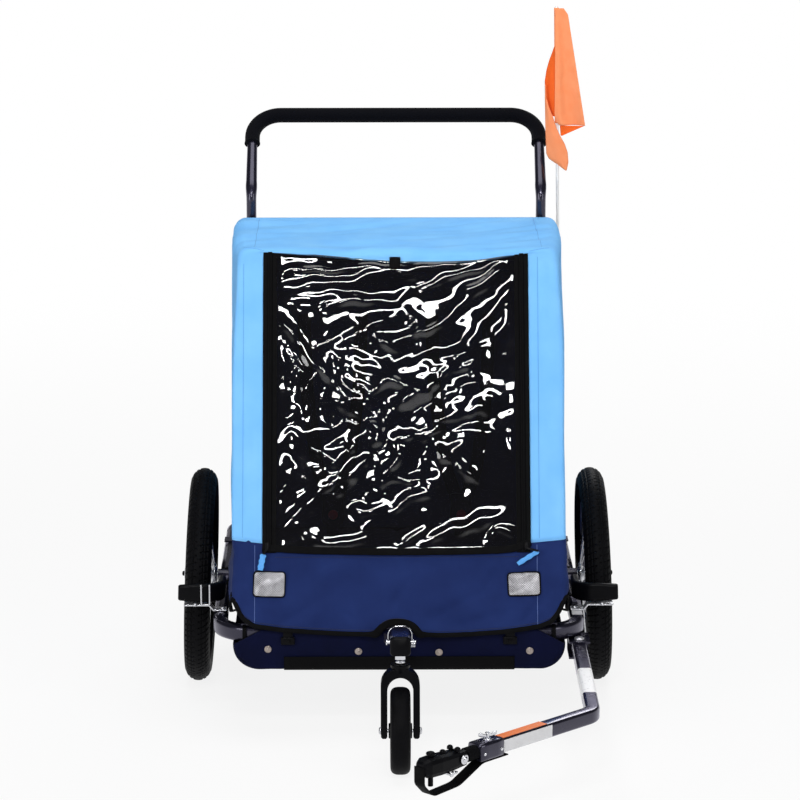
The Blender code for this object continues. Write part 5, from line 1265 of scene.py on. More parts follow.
def apron_ruffle(p, i, j):
    """Slack folds, pulled slanting towards the corners and under the window's lower edge."""
    slow = drifting(p.x * 8.0, p.y * 5.0, p.z * 14.0)
    pull = drifting(p.x * 17.0 + p.z * 30.0 * (1 if p.x > 0 else -1), p.y * 10.0, p.z * 8.0)
    fine = drifting(p.x * 46.0, p.y * 30.0, p.z * 38.0)
    lift = 0.0075 * slow + 0.0042 * pull + 0.0009 * fine
    if p.y < 0.06:
        for height, reach, (ax, az), (bx, bz) in apron_folds:
            t = ((p.x - ax) * (bx - ax) + (p.z - az) * (bz - az)) / ((bx - ax) ** 2 + (bz - az) ** 2)
            t = min(1.0, max(0.0, t))
            far = math.hypot(p.x - ax - t * (bx - ax), p.z - az - t * (bz - az))
            lift += 0.001 * height * math.exp(-((far / (0.001 * reach)) ** 2)) * (0.4 + 2.4 * t * (1.0 - t))
    return lift * eased(i / 0.30) * (0.35 + 0.65 * eased((1.0 - i) / 0.12))


apron = cloth(
    "apron_navy", apron_rows(), navy_polyester, "frame", "apron", slot="navy_cloth", ruffle=apron_ruffle
)
hem_line = [on_front(x, hem_z(x) + 0.003) for x in np.linspace(-apron_half, apron_half, 300)]
hem_line = laid_on([apron], hem_line, 0.0002)
wider = [1.0 + 0.7 * eased((0.055 - abs(point.x - arch_middle)) / 0.02) for point in hem_line]
binding = [drawn(hem_line, rounded(0.0036, 0.0084, 0.0014, 3), up=front_out, sizes=[(1.0, w) for w in wider])]
for sign in (-1, 1):
    side_hem = []
    for t in np.linspace(0.0, 1.0, 90):
        z = side_hem_z(t) + 0.003
        y = front_y(z) + 0.0084 + (rear_y(z) - front_y(z) - 0.0084) * t
        side_hem.append(Vector((sign * half_width(y, z), y, z)))
    binding.append(
        drawn(
            laid_on([apron], side_hem, 0.0002, (sign, 0, 0)),
            rounded(0.0034, 0.0080, 0.0014, 3),
            up=(sign, 0, 0),
        )
    )
    loop = [on_front(sign * 0.2869, 0.2330, 0.001), on_front(sign * 0.2990, 0.2290, 0.002)]
    loop += [Vector((sign * 0.3075, 0.0500, 0.2190)), Vector((sign * 0.3105, 0.1250, 0.2065))]
    loop = bent(loop, [0.008, 0.030], 6)
    binding.append(drawn(loop, rounded(0.0016, 0.0075, 0.0007, 2), up=(sign, -0.3, 0.4)))
rear_hem = [Vector((x, 0.7346, 0.2140)) for x in np.linspace(-0.3075, 0.3075, 80)]
binding.append(
    drawn(laid_on([rear], rear_hem, 0.0002, (0, 1, 0.01)), rounded(0.0034, 0.0080, 0.0014, 3), up=(0, 1, 0))
)
binding = piece("apron_binding", joined(*binding), black_tape, "frame", slot="black_binding")
stitches = [
    [on_front(-0.258, z) for z in np.linspace(0.206, 0.339, 40)],
    [on_front(0.247, z) for z in np.linspace(0.204, 0.339, 40)],
    [on_front(x, hem_z(x) + 0.0095) for x in np.linspace(-0.292, 0.292, 240)],
    [on_front(x, apron_top(x) - 0.012) for x in np.linspace(-0.222, 0.214, 160)],
]
stitches = [drawn(laid_on([apron], line, 0.0001), round_tube(0.0005, 6), up=front_out) for line in stitches]
apron_stitches = [piece("apron_hem_stitches", joined(*stitches[2:]), navy_thread, "frame", slot="navy_cloth")]
apron_stitches.append(
    piece("apron_panel_stitches", joined(*stitches[:2]), pale_thread, "frame", slot="navy_cloth")
)


# Reflective patches: silver retroreflective cloth printed with a net of welded lines, sewn on at the edges.
patch_cloth, tree = new_material("silver retroreflective cloth")
where = add(tree, "ShaderNodeTexCoord").outputs["Object"]
split = add(tree, "ShaderNodeSeparateXYZ", {0: where})
# The net's lines are drawn about 2 mm apart.
nets = []
for operation in ("ADD", "SUBTRACT"):
    slant = reckoned(tree, operation, split.outputs["X"], split.outputs["Z"])
    wave = reckoned(tree, "SINE", reckoned(tree, "MULTIPLY", slant, 2000.0 * math.pi / 6.0))
    nets.append(reckoned(tree, "ABSOLUTE", wave))
net = reckoned(tree, "MULTIPLY", *nets)
cloudy = add(tree, "ShaderNodeTexNoise", {"Vector": where, "Scale": 62.0, "Detail": 5.0, "Roughness": 0.7})
mottled = reckoned(tree, "MULTIPLY", net, cloudy.outputs["Fac"])
tone = add(tree, "ShaderNodeMapRange", {"Value": mottled, "From Min": 0.08, "From Max": 0.34})
silver = between(tree, tone.outputs[0], "#26252a", "#e2e1e6")
relief = add(tree, "ShaderNodeBump", {"Height": net, "Strength": 0.5, "Distance": 0.0002})
coated(tree, {"Base Color": silver, "Normal": relief.outputs[0], "Roughness": 0.38, "Metallic": 0.35})


def round_off(rows, radius):
    """Rounds the corners of a small piece's grid of points."""
    middle = (rows[0][0] + rows[-1][-1]) / 2
    half_wide = (rows[0][-1] - rows[0][0]).length / 2
    half_high = (rows[-1][0] - rows[0][0]).length / 2
    right, up = (rows[0][-1] - rows[0][0]).normalized(), (rows[0][0] - rows[-1][0]).normalized()
    for row in rows:
        for point in row:
            a, b = (point - middle).dot(right), (point - middle).dot(up)
            over_a, over_b = abs(a) - half_wide + radius, abs(b) - half_high + radius
            if over_a > 0 and over_b > 0:
                square = max(over_a, over_b)
                shrink = square / math.hypot(over_a, over_b)
                over_a, over_b = math.copysign(over_a, a), math.copysign(over_b, b)
                point -= (right * over_a + up * over_b) * (1 - shrink)


patches, patch_edges = [], []
patch_corners = [
    ("left", -0.2599, -0.2039, 0.2529, 0.2944, 0.03), ("right", 0.1947, 0.2520, 0.2543, 0.2927, -0.03)
]
for side, low_x, high_x, low_z, high_z, tilt in patch_corners:
    spots, crowns = [], []
    for i in range(17):
        for j in range(23):
            u, v = j / 22 - 0.5, 0.5 - i / 16
            x = (low_x + high_x) / 2 + (high_x - low_x) * u + tilt * (high_z - low_z) * v
            z = (low_z + high_z) / 2 + (high_z - low_z) * v - tilt * (high_x - low_x) * u
            spots.append(on_front(x, z))
            crown = 0.0042 * max(0.0, 1 - (2 * u) ** 4) * max(0.0, 1 - (2 * v) ** 4)
            crowns.append(crown + 0.0030 * drifting(u * 3.4 + 7.0 * tilt, v * 2.2, tilt * 90.0))
    spots = [spot + front_out * crown for spot, crown in zip(laid_on([apron], spots, 0.0014), crowns)]
    rows = [spots[23 * i : 23 * i + 23] for i in range(17)]
    round_off(rows, 0.006)
    patch = cloth(
        f"reflective_patch_{side}", rows, patch_cloth, "frame", f"reflector_{side}", slot="reflective_cloth"
    )
    patches.append(patch)
    outline = rows[0] + [row[-1] for row in rows[1:]] + rows[-1][-2::-1] + [row[0] for row in rows[-2:0:-1]]
    outline = [point + front_out * 0.0006 for point in outline]
    edge = drawn(outline + outline[:1], rounded(0.0012, 0.0030, 0.0005, 2), up=front_out)
    patch_edges.append(
        piece(f"reflective_patch_edge_{side}", edge, black_tape, "frame", slot="black_binding")
    )


# Zip pulls: light blue cords through black sliders at the lower ends of the window's zips.
blue_cord = surface("light blue braided cord", "#3f8ede", "#62b2f6", 3.0, (0.55, 0.7), 1.5, 0.15)
pull_ends = {"left": ((-0.2425, 0.3230), (-0.2480, 0.2965)), "right": ((0.2490, 0.3275), (0.2120, 0.3060))}
for side, sign in sides:
    x = -0.2355 if sign < 0 else 0.2290
    (start_x, start_z), (end_x, end_z) = pull_ends[side]
    line = []
    for i in range(15):
        t = i / 14
        rise = 0.0048 + 0.0015 * math.sin(math.pi * t) + 0.0015 * t
        line.append(on_front(start_x + (end_x - start_x) * t, start_z + (end_z - start_z) * t, rise))
    sizes = [(1.0, 0.75)] + [(1.0, 0.95 + 0.12 * math.sin(i * 1.3)) for i in range(1, 14)] + [(0.9, 0.85)]
    ribbon = drawn(
        line, rounded(0.0028, 0.0110 if sign < 0 else 0.0090, 0.0013, 3), up=front_out, sizes=sizes
    )
    pull = piece(
        f"zip_cord_{side}", ribbon, blue_cord, f"zip_{side}", f"zip_pull_{side}", slot="light_blue_cloth"
    )
    box = [on_front(x, z, 0.0050) for z in (0.3300, 0.3345, 0.3420)]
    box = drawn(box, rounded(0.0050, 0.0090, 0.0018, 3), up=front_out, sizes=[0.8, 1.0, 0.92])
    tab = [on_front(x, 0.3390, 0.0075), on_front(x, 0.3320, 0.0085), on_front(start_x, start_z, 0.0075)]
    tab = drawn(tab, rounded(0.0012, 0.0040, 0.0005, 2), up=front_out)
    body = piece(f"zip_slider_{side}", joined(box, tab), black_plastic, f"zip_{side}", slot="black_plastic")
    folds_with_frame(pull, body)
folds_with_frame(cover, cover_seams, rear, rear_seams, pane, band)
folds_with_frame(apron, binding, *apron_stitches, *patches, *patch_edges)


# Tub: the floor hangs below the rails as a navy bag with rounded lower corners, its front wall snapped to the
# front rail. A black strip guards its lower front edge, and a flat deck runs back from it behind the
# footwell.
def tub_line():
    """The tub's outline seen from the front, from its left rim under the tub to its right rim."""
    half, low, radius = 0.296, 0.124, 0.043
    points = [(-half, 0.1697), (-half, low + radius)]
    for i in range(1, 13):
        turn = math.radians(180.0 + 7.5 * i)
        points.append((-half + radius + radius * math.cos(turn), low + radius + radius * math.sin(turn)))
    points += [(-half + radius + (2 * half - 2 * radius) * i / 70, low) for i in range(1, 70)]
    for i in range(13):
        turn = math.radians(270.0 + 7.5 * i)
        points.append((half - radius + radius * math.cos(turn), low + radius + radius * math.sin(turn)))
    return points + [(half, 0.1697)]


tub_front_y, tub_step_y = -0.0692, 0.2746


def tub_rows():
    line = tub_line()
    rows = []
    for n, (x, z) in enumerate(line):
        top_x = -0.2955 + 0.591 * n / (len(line) - 1)
        rim = 0.1975 if abs(top_x) < 0.244 else 0.1975 - (abs(top_x) - 0.244) * 0.54
        row = [
            Vector((top_x + (x - top_x) * s / 14, tub_front_y, rim + (z - rim) * s / 14)) for s in range(14)
        ]
        corner = Vector((x, tub_front_y, z))
        inward = Vector((-x, 0, 0.25 - z)).normalized() * 0.006
        row += [curved(corner + inward, corner, corner + Vector((0, 0.006, 0)), s / 5) for s in range(6)]
        run = tub_step_y - tub_front_y - 0.006
        row += [Vector((x, tub_front_y + 0.006 + run * s / 24, z)) for s in range(1, 25)]
        rows.append(row)
    return rows


def tub_ruffle(p, i, j):
    slack = drifting(p.x * 12.0, p.y * 9.0, p.z * 20.0)
    pull = drifting(p.x * 34.0, p.y * 16.0, p.z * 8.0)
    return (0.0015 * slack + 0.0009 * pull) * min(1.0, 8.0 * i, 8.0 * (1 - i)) * min(1.0, 0.2 + 5.0 * j)


# The tub's cloth is the navy painted darker as shade.
tub = cloth(
    "tub_navy", tub_rows(), navy_in_painted_shade, "frame", "floor_tub", slot="navy_cloth",
    ruffle=tub_ruffle, thick=0.0022,
)


def slab(low, high, edge=0.0, steps=3):
    """A block between two corners with its edges rounded."""
    low, high = Vector(low), Vector(high)
    form = bmesh.new()
    bmesh.ops.create_cube(form, size=1.0)
    for corner in form.verts:
        corner.co = [low[i] if corner.co[i] < 0 else high[i] for i in range(3)]
    if edge:
        bmesh.ops.bevel(form, geom=form.edges[:], offset=edge, segments=steps, profile=0.5, affect="EDGES")
    return form


# Its step wall and deck are in the same painted shade.
step_wall = slab((-0.2945, 0.2718, 0.1255), (0.2945, 0.2746, 0.1697), 0.0010)
deck = slab((-0.296, 0.2718, 0.1669), (0.296, 0.7256, 0.1697), 0.0010)
piece("tub_deck", joined(step_wall, deck), navy_in_painted_shade, "frame", slot="navy_cloth")
strip_line = [
    (-0.0716, 0.1474),
    (-0.0720, 0.1460),
    (-0.0720, 0.1290),
    (-0.0706, 0.1240),
    (-0.0664, 0.1218),
    (-0.0600, 0.1215),
    (-0.0292, 0.1215),
]
strip_rows = [[Vector((-0.206 + 0.412 * j / 40, y - 0.0004, z)) for j in range(41)] for y, z in strip_line]
# Coated polyester strip: a flat black with a soft shine.
black_strip = surface(
    "black coated strip", "#010102", "#050507", 30.0, (0.5, 0.65), 2.0, 0.05, Specular_IOR_Level=0.08
)
strip = cloth(
    "tub_edge_strip", strip_rows, black_strip, "frame", "tub_strip", slot="black_plastic", thick=0.0014
)
# Press studs of oxidised brass, with a dull brownish shine.
dull_brass = surface(
    "oxidised brass press stud", "#8a7f79", "#b0a59e", 5.0, (0.30, 0.45), 1.0, 0.01, Metallic=0.6
)
studs = [(-0.2344, 0.1609), (-0.0728, 0.1564), (0.0710, 0.1545), (0.2332, 0.1569)]
studs = laid_on([tub], [(x, tub_front_y, z) for x, z in studs], -0.0002, (0, -1, 0.001))
stud_heads = [button_head(spot, (0, -1, 0), 0.0066, 0.0026) for spot in studs]
stud_heads += [button_head(spot, (0, -1, 0), 0.0030, 0.0034, 16) for spot in studs]
piece("tub_press_studs", joined(*stud_heads), dull_brass, "frame", slot="black_plastic", sharp=50.0)
hooks = []
for x in (-0.1988, 0.1979):
    hooks.append(slab((x - 0.0125, -0.0765, 0.1700), (x + 0.0125, -0.0708, 0.1845), 0.0022, 3))
    hooks.append(slab((x - 0.0050, -0.0785, 0.1730), (x + 0.0050, -0.0755, 0.1800), 0.0012, 2))
    hooks.append(
        drawn(
            [(x, -0.0712, 0.1965), (x, -0.0735, 0.1850), (x, -0.0725, 0.1800)],
            rounded(0.0018, 0.0170, 0.0007, 2),
            up=(0, 1, 0),
        )
    )
piece("tub_hooks", joined(*hooks), black_plastic, "frame", slot="black_plastic")
# Webbing sleeves hold the tub and the side panels to the rails.
sleeves = []
for sign in (-1, 1):
    wrap = rounded(0.0318, 0.0268, 0.0085, 4)
    sleeves.append(drawn([(sign * 0.2735, -0.052884, rail_z), (sign * 0.2800, -0.052884, rail_z)], wrap))
    for y, wide in ((0.0505 if sign < 0 else 0.1500, 0.013), (0.2440, 0.030), (0.3380, 0.026)):
        sleeves.append(drawn([(sign * rail_x, y + wide * end, rail_z) for end in (-0.5, 0.5)], wrap))
sleeves = piece(
    "rail_webbing_sleeves", joined(*sleeves), black_tape, "frame", slot="black_binding", bevel=0.0004
)
# A blank white paper sticker lies on top of the right rail.
white_paper = surface(
    "white sticker paper", "#d4d4d6", "#e6e6e8", 20.0, (0.4, 0.5), 0.8, 0.008, Specular_IOR_Level=0.3
)
label = slab((0.3135, 0.0140, 0.2000), (0.3325, 0.0640, 0.2003), 0.0001, 1)
piece("rail_blank_sticker", label, white_paper, "frame", slot="reflective_cloth")


# Seat: a bench cushion and a padded sling back of navy polyester, with a black harness for each child.
def stuffed(thing, cap, pressure=4.0, voxel=0.005):
    """Lets the cover of a cushion swell over its filling, at most cap from where it was sewn."""
    mesh = thing.data
    remesh = thing.modifiers.new("even cloth", "REMESH")
    remesh.mode, remesh.voxel_size = "VOXEL", voxel
    thing.data = settled(thing)
    bpy.data.meshes.remove(mesh)
    sewn = np.empty(len(thing.data.vertices) * 3)
    thing.data.vertices.foreach_get("co", sewn)
    sim = thing.modifiers.new("swelling", "CLOTH")
    sim.settings.use_pressure = True
    sim.settings.uniform_pressure_force = pressure
    sim.settings.effector_weights.gravity = 0.0
    sim.settings.quality = 5
    sim.point_cache.frame_start, sim.point_cache.frame_end = 1, 20
    scene = bpy.context.scene
    for step in range(1, 21):
        scene.frame_set(step)
    swollen = settled(thing)
    scene.frame_set(1)
    moved = np.empty(len(swollen.vertices) * 3)
    swollen.vertices.foreach_get("co", moved)
    step = (moved - sewn).reshape(-1, 3)
    reach = np.linalg.norm(step, axis=1, keepdims=True)
    step *= np.minimum(1.0, cap / np.maximum(reach, 1e-9))
    thing.data.vertices.foreach_set("co", (sewn.reshape(-1, 3) + step).reshape(-1))
    bpy.data.meshes.remove(swollen)
    smooth = thing.modifiers.new("even cloth", "SUBSURF")
    smooth.levels = smooth.render_levels = 1
    mesh = thing.data
    thing.data = settled(thing)
    bpy.data.meshes.remove(mesh)


def sewn_in(thing, dent):
    """Moves each point of the mesh by what dent gives for it, as a sewn channel pulls the cloth in."""
    for corner in thing.data.vertices:
        corner.co += dent(corner.co.copy())
    thing.data.shade_smooth()


# Polyester over foam: the navy cloth again, with a fine grain for its threads because the cushion has no flat
# cut.
navy_padding = surface(
    "navy padded polyester", "#141f4a", "#1c2b5e", 60.0, (0.72, 0.82), 1.5, 0.10, Specular_IOR_Level=0.2
)
cushion = slab((-0.250, 0.278, 0.2065), (0.250, 0.503, 0.2385), 0.012, 4)
seat = piece("seat_cushion", cushion, navy_padding, "frame", "seat_base", slot="navy_cloth")
stuffed(seat, 0.006)


def cushion_channels(p):
    """One seam between the two places and one along the front edge."""
    depth = 0.006 * math.exp(-((p.x / 0.007) ** 2)) + 0.003 * math.exp(-(((p.y - 0.300) / 0.006) ** 2))
    return Vector((0, 0, -depth if p.z > 0.225 else 0.0))


sewn_in(seat, cushion_channels)


def back_y(z):
    return 0.4546 + 0.062 * (z - 0.2453) / 0.4997


back_rows = []
for i in range(70):
    z = 0.250 + 0.492 * i / 69
    back_rows.append([Vector((0.2865 * (1.0 - j / 44), back_y(z) + 0.006, z)) for j in range(89)])


def back_ruffle(p, i, j):
    """Padded between a sewn channel in the middle and one beside each edge, with slanting folds."""
    channel = -0.0055 * math.exp(-((p.x / 0.006) ** 2)) - 0.003 * math.exp(
        -(((abs(p.x) - 0.245) / 0.006) ** 2)
    )
    folds = drifting(p.x * 9.0, 4.0, p.z * 9.0) + 0.5 * drifting(p.x * 26.0, 1.0, p.z * 14.0)
    return -(channel + 0.0028 * folds)


seat_back = cloth(
    "seat_back_sling",
    back_rows,
    navy_polyester,
    "frame",
    "seat_back",
    slot="navy_cloth",
    ruffle=back_ruffle,
    thick=0.008,
)
folds_with_frame(seat_back)
# Harness: polypropylene webbing 25 mm wide, woven black, with a moulded buckle and its red release button.
red_plastic = surface("red moulded plastic", "#a80f1c", "#c4202a", 10.0, (0.35, 0.45), 0.9, 0.02)
strap_outline = rounded(0.0020, 0.025, 0.0009, 2)
child_x, buckle_z = 0.122, 0.3053
for side, sign in sides:
    x = sign * child_x
    buckle_y = back_y(buckle_z) - 0.075
    straps = []
    for turn in (-1, 1):
        top = Vector((x + turn * 0.055, back_y(0.660) - 0.004, 0.660))
        chest = Vector((x + turn * 0.050, back_y(0.520) - 0.010, 0.520))
        belly = Vector((x + turn * 0.030, buckle_y + 0.018, 0.385))
        low = Vector((x + turn * 0.009, buckle_y + 0.001, buckle_z + 0.020))
        line = bent([top, chest, belly, low], [0.12, 0.08], 8)
        straps.append(drawn(line, strap_outline, up=(0, -1, 0)))
    crotch = bent(
        [
            (x, buckle_y, buckle_z - 0.025),
            (x, buckle_y - 0.006, buckle_z - 0.050),
            (x, buckle_y + 0.016, 0.2490),
        ],
        [0.010],
        6,
    )
    straps.append(drawn(crotch, strap_outline, up=(0, -1, 0)))
    straps = piece(
        f"harness_straps_{side}",
        joined(*straps),
        black_tape,
        "frame",
        f"harness_{side}",
        slot="black_binding",
    )
    shell = drawn(
        [(x, buckle_y, buckle_z + dz) for dz in (0.030, 0.027, 0.010, -0.012, -0.027, -0.030)],
        rounded(0.044, 0.014, 0.005, 4),
        up=(1, 0, 0),
        sizes=[0.82, 0.92, 0.88, 1.0, 0.90, 0.72],
    )
    shell = piece(f"harness_buckle_{side}", shell, black_plastic, "frame", slot="black_plastic", bevel=0.0006)
    knob = button_head((x, buckle_y - 0.0066, buckle_z - 0.010), (0, -1, 0), 0.0095, 0.0030)
    knob = piece(f"harness_button_{side}", knob, red_plastic, "frame", slot="black_plastic")
    folds_with_frame(straps, shell, knob)


# Caster: its black steel arm slides on a bar of the front rail and is locked by a pin with a wire bail. A
# fork of moulded nylon swivels on a chromed steerer under the arm's end and holds a solid rubber wheel.
def arm_spot(y, lift=0.0):
    """A point along the caster's arm, from the rail down to its end."""
    return Vector((0.0, y, 0.1875 + (0.231 - 0.1875) * (y + 0.069684) / (-0.297384 + 0.069684) + lift))


arm_outline = rounded(0.033, 0.035, 0.007, 5)
arm = drawn([arm_spot(y) for y in (-0.0697, -0.0720, -0.1500, -0.2300, -0.2974)], arm_outline)
piece("caster_arm_tube", arm, powder_coat, "frame", "caster_arm", slot="frame_paint", sharp=50.0)
cap = drawn(
    [arm_spot(y) for y in (-0.2960, -0.2974, -0.2976, -0.3005, -0.3025, -0.3037)],
    arm_outline,
    sizes=[1.0, 1.0, 1.03, 1.02, 0.95, 0.80],
)
piece("caster_arm_end_cap", cap, black_plastic, "frame", "caster_arm_cap", slot="black_plastic", sharp=50.0)
finish_node(powder_coat, 0.0008, "caster_receiver")
# Steel, chromium plated: a bright mirror with a bluish edge.
chrome = surface("chromium plated steel", "#c6c7cc", "#dcdde1", 14.0, (0.06, 0.12), 1.0, 0.003, Metallic=1.0)

pin_y, pin_z = -0.215384, 0.2153
bail_line = bent(
    [
        (-0.0205, pin_y, pin_z),
        (-0.0205, pin_y, pin_z + 0.0285),
        (0.0205, pin_y, pin_z + 0.0285),
        (0.0205, pin_y, pin_z),
    ],
    [0.016, 0.016],
    8,
)
bail = drawn(bail_line, round_tube(0.0012, 12), up=(0, 1, 0))
coil_line = []
for i in range(64):
    turn = 2 * math.pi * i / 16
    coil_line.append(
        (0.0185 + 0.0076 * i / 63, pin_y + 0.0042 * math.cos(turn), pin_z - 0.004 + 0.0042 * math.sin(turn))
    )
coil = drawn(coil_line, round_tube(0.0009, 8), up=(1, 0, 0))
bolt = rod((-0.0240, pin_y, pin_z), (0.0275, pin_y, pin_z), 0.0029)
ends = [button_head((sign * 0.0225, pin_y, pin_z), (sign, 0, 0), 0.0052, 0.0028) for sign in (-1, 1)]
piece(
    "caster_lock_bail", joined(bail, coil, bolt, *ends), chrome, "lock_bail", "caster_lock_pin", slot="zinc"
)

swivel_y, axle_y, axle_z = -0.260384, -0.285384, 0.076


def leg_y(z):
    return swivel_y - 0.025 * max(0.0, min(1.0, (0.183 - z) / 0.107))


fork_outer = [(-0.0310, 0.0630), (-0.0335, 0.0665), (-0.034, 0.076), (-0.034, 0.110), (-0.034, 0.153)]
for i in range(1, 9):
    turn = math.radians(180.0 - 11.25 * i)
    fork_outer.append((-0.004 + 0.030 * math.cos(turn), 0.153 + 0.030 * math.sin(turn)))
fork_outer.append((0.0, 0.183))
fork_inner = [(-0.0250, 0.0630), (-0.0225, 0.0665), (-0.0225, 0.076), (-0.0225, 0.110), (-0.0225, 0.145)]
for i in range(1, 10):
    turn = math.radians(180.0 - 10.0 * i)
    fork_inner.append((0.0225 * math.cos(turn), 0.145 + 0.0225 * math.sin(turn)))
fork_outer += [(-x, z) for x, z in reversed(fork_outer[:-1])]
fork_inner += [(-x, z) for x, z in reversed(fork_inner[:-1])]
fork = bmesh.new()
rings = []
for (ox, oz), (ix, iz) in zip(fork_outer, fork_inner):
    ring = []
    for x, z in ((ox, oz), (ix, iz)):
        deep = 0.0115 if z > axle_z else math.sqrt(max(0.00002, 0.0115**2 - (0.7 * (axle_z - z)) ** 2))
        ring += [Vector((x, leg_y(z) - deep, z)), Vector((x, leg_y(z) + deep, z))]
    rings.append([fork.verts.new(ring[n]) for n in (0, 1, 3, 2)])
for first, second in zip(rings, rings[1:]):
    for n in range(4):
        fork.faces.new((first[n], first[(n + 1) % 4], second[(n + 1) % 4], second[n]))
fork.faces.new(rings[0])
fork.faces.new(rings[-1])
crown = [
    (0.170, 0),
    (0.170, 0.0110),
    (0.1840, 0.0165),
    (0.1885, 0.0170),
    (0.1898, 0.0155),
    (0.1900, 0.0080),
    (0.1900, 0),
]
crown = aimed(turned(crown, 32, closed=False), (1, 0, 0), (0, 0, 1), (0, swivel_y, 0))
piece(
    "caster_fork_moulding",
    joined(fork, crown),
    black_plastic,
    "caster_swivel",
    "caster_fork",
    slot="black_plastic",
    bevel=0.0016,
    sharp=30.0,
)
steerer = [
    (0.1895, 0), (0.1895, 0.0068), (0.1905, 0.0082), (0.1925, 0.0088), (0.1945, 0.0082), (0.1955, 0.0066)
]
steerer += [(0.1965, 0.0078), (0.1980, 0.0090), (0.2000, 0.0092), (0.2090, 0.0092), (0.2095, 0)]
steerer = aimed(turned(steerer, 32, closed=False), (1, 0, 0), (0, 0, 1), (0, swivel_y, 0))
piece("caster_steerer", steerer, chrome, "caster_swivel", slot="zinc")
bolt = [rod((-0.0335, axle_y, axle_z), (0.0335, axle_y, axle_z), 0.0035)]
bolt += [button_head((sign * 0.0338, axle_y, axle_z), (sign, 0, 0), 0.0065, 0.0042) for sign in (-1, 1)]
piece("caster_axle_bolt", joined(*bolt), zinc_plate, "caster_swivel", "caster_axle", slot="zinc")
caster_place = Matrix.Translation((0.0, axle_y, axle_z))
profile = [
    (0.0128, 0.0560), (0.0165, 0.0585), (0.0175, 0.0630), (0.0170, 0.0676), (0.0150, 0.0716), (0.0118, 0.0742)
]
profile += [(0.0080, 0.0755), (0.0040, 0.0760), (0.0012, 0.0760)]
profile += [(-x, r) for x, r in reversed(profile)] + [(-0.0128, 0.0540), (0.0128, 0.0540)]
piece(
    "caster_tyre_solid",
    turned(profile, 96),
    tyre_rubber,
    "caster_wheel",
    "caster_tyre",
    slot="tyre_rubber",
    place=caster_place,
    sharp=40.0,
)
profile = [
    (0.0128, 0.0545), (0.0138, 0.0520), (0.0130, 0.0480), (0.0060, 0.0450), (0.0050, 0.0220), (0.0110, 0.0165)
]
profile += [(0.0200, 0.0130), (0.0205, 0.0120), (0.0205, 0.0045)]
hub = turned(profile + [(-x, r) for x, r in reversed(profile)], 72)
ribs = []
for i in range(6):
    turn = 2 * math.pi * i / 6
    out = Vector((0, math.sin(turn), math.cos(turn)))
    ribs.append(
        drawn(
            [out * 0.012, out * 0.022, out * 0.047],
            rounded(0.0036, 0.0230, 0.0012, 2),
            up=out.cross(Vector((1, 0, 0))),
        )
    )
piece(
    "caster_hub_ribbed",
    joined(hub, *ribs),
    black_plastic,
    "caster_wheel",
    "caster_hub",
    slot="black_plastic",
    place=caster_place,
)


# Hitch arm: square steel tube on a pivot bolt under the front corner, bent by 45 degrees, with a sleeve, a
# rubber neck and a hinged coupler head at its end. A webbing strap is the second line to the bicycle.
ahead = Vector((-0.70710678, -0.70710678, 0.0))
aside = Vector((0.70710678, -0.70710678, 0.0))
arm_end = Vector((0.137738, -0.628646, 0.1539))


def by_hitch(x, y, z):
    """A point x ahead of the hitch arm's end, y to its side and z above its middle."""
    return arm_end + ahead * x + aside * y + Vector((0, 0, z))


finish_node(powder_coat, 0.0006, "hitch_bracket")
pivot_low, pivot_nut, pivot_top = (Vector((rail_x, -0.042384, z)) for z in (0.1320, 0.1380, 0.1700))
pivot = [button_head(pivot_top, (0, 0, 1), 0.0090, 0.0052), rod(pivot_low, pivot_top, 0.0050)]
pivot += [rod(pivot_low, pivot_nut, 0.0090, 6)]
piece("hitch_pivot_bolt", joined(*pivot), zinc_plate, "frame", "hitch_pivot", slot="zinc", bevel=0.0004)
arm_line = bent([(rail_x, -0.022384, arm_end.z), (rail_x, -0.443384, arm_end.z), tuple(arm_end)], [0.042], 12)
arm = drawn(arm_line, rounded(0.025, 0.025, 0.005, 4))
piece("hitch_arm_tube", arm, powder_coat, "hitch_arm", "hitch_arm", slot="frame_paint", sharp=50.0)
# White reflective tape is wound round the arm, and an orange and a white sticker, both blank, lie near its
# end.
white_tape = surface("white reflective tape", "#f0f0f2", "#fbfbfc", 6.0, (0.25, 0.4), 1.2, 0.01)
orange_paper = surface("orange sticker paper", "#f07a38", "#f98a48", 20.0, (0.4, 0.5), 0.8, 0.008)
tape = drawn([(rail_x, y, arm_end.z) for y in (-0.356, -0.212)], rounded(0.0255, 0.0255, 0.0052, 4))
piece("hitch_arm_tape", tape, white_tape, "hitch_arm", slot="reflective_cloth")


def plate(start, stop, y, z, wide, high):
    """A thin leaf along the arm, its section wide across the arm and high up it."""
    section = [(high / 2 * a, wide / 2 * b) for a, b in ((1, 1), (-1, 1), (-1, -1), (1, -1))]
    return drawn([by_hitch(start, y, z), by_hitch(stop, y, z)], section)


piece(
    "hitch_arm_orange_sticker",
    plate(-0.1380, -0.0200, -0.001, 0.0127, 0.019, 0.0003),
    orange_paper,
    "hitch_arm",
    slot="reflective_cloth",
)
piece(
    "hitch_arm_blank_sticker",
    plate(-0.1460, -0.0200, 0.0127, 0.0, 0.0003, 0.0205),
    white_paper,
    "hitch_arm",
    slot="reflective_cloth",
)
sleeve = drawn(
    [by_hitch(x, 0, 0) for x in (-0.0260, -0.0252, -0.010, 0.010, 0.0272, 0.028)],
    rounded(0.031, 0.031, 0.006, 4),
    sizes=[0.96, 1.0, 1.0, 1.0, 1.0, 0.96],
)
piece(
    "coupler_sleeve_tube", sleeve, powder_coat, "hitch_arm", "coupler_sleeve", slot="frame_paint", sharp=50.0
)
wing = [rod(by_hitch(-0.002, 0, 0.0150), by_hitch(-0.002, 0, 0.0262), 0.0031)]
wing.append(button_head(by_hitch(-0.002, 0, 0.0152), (0, 0, 1), 0.0078, 0.0030))
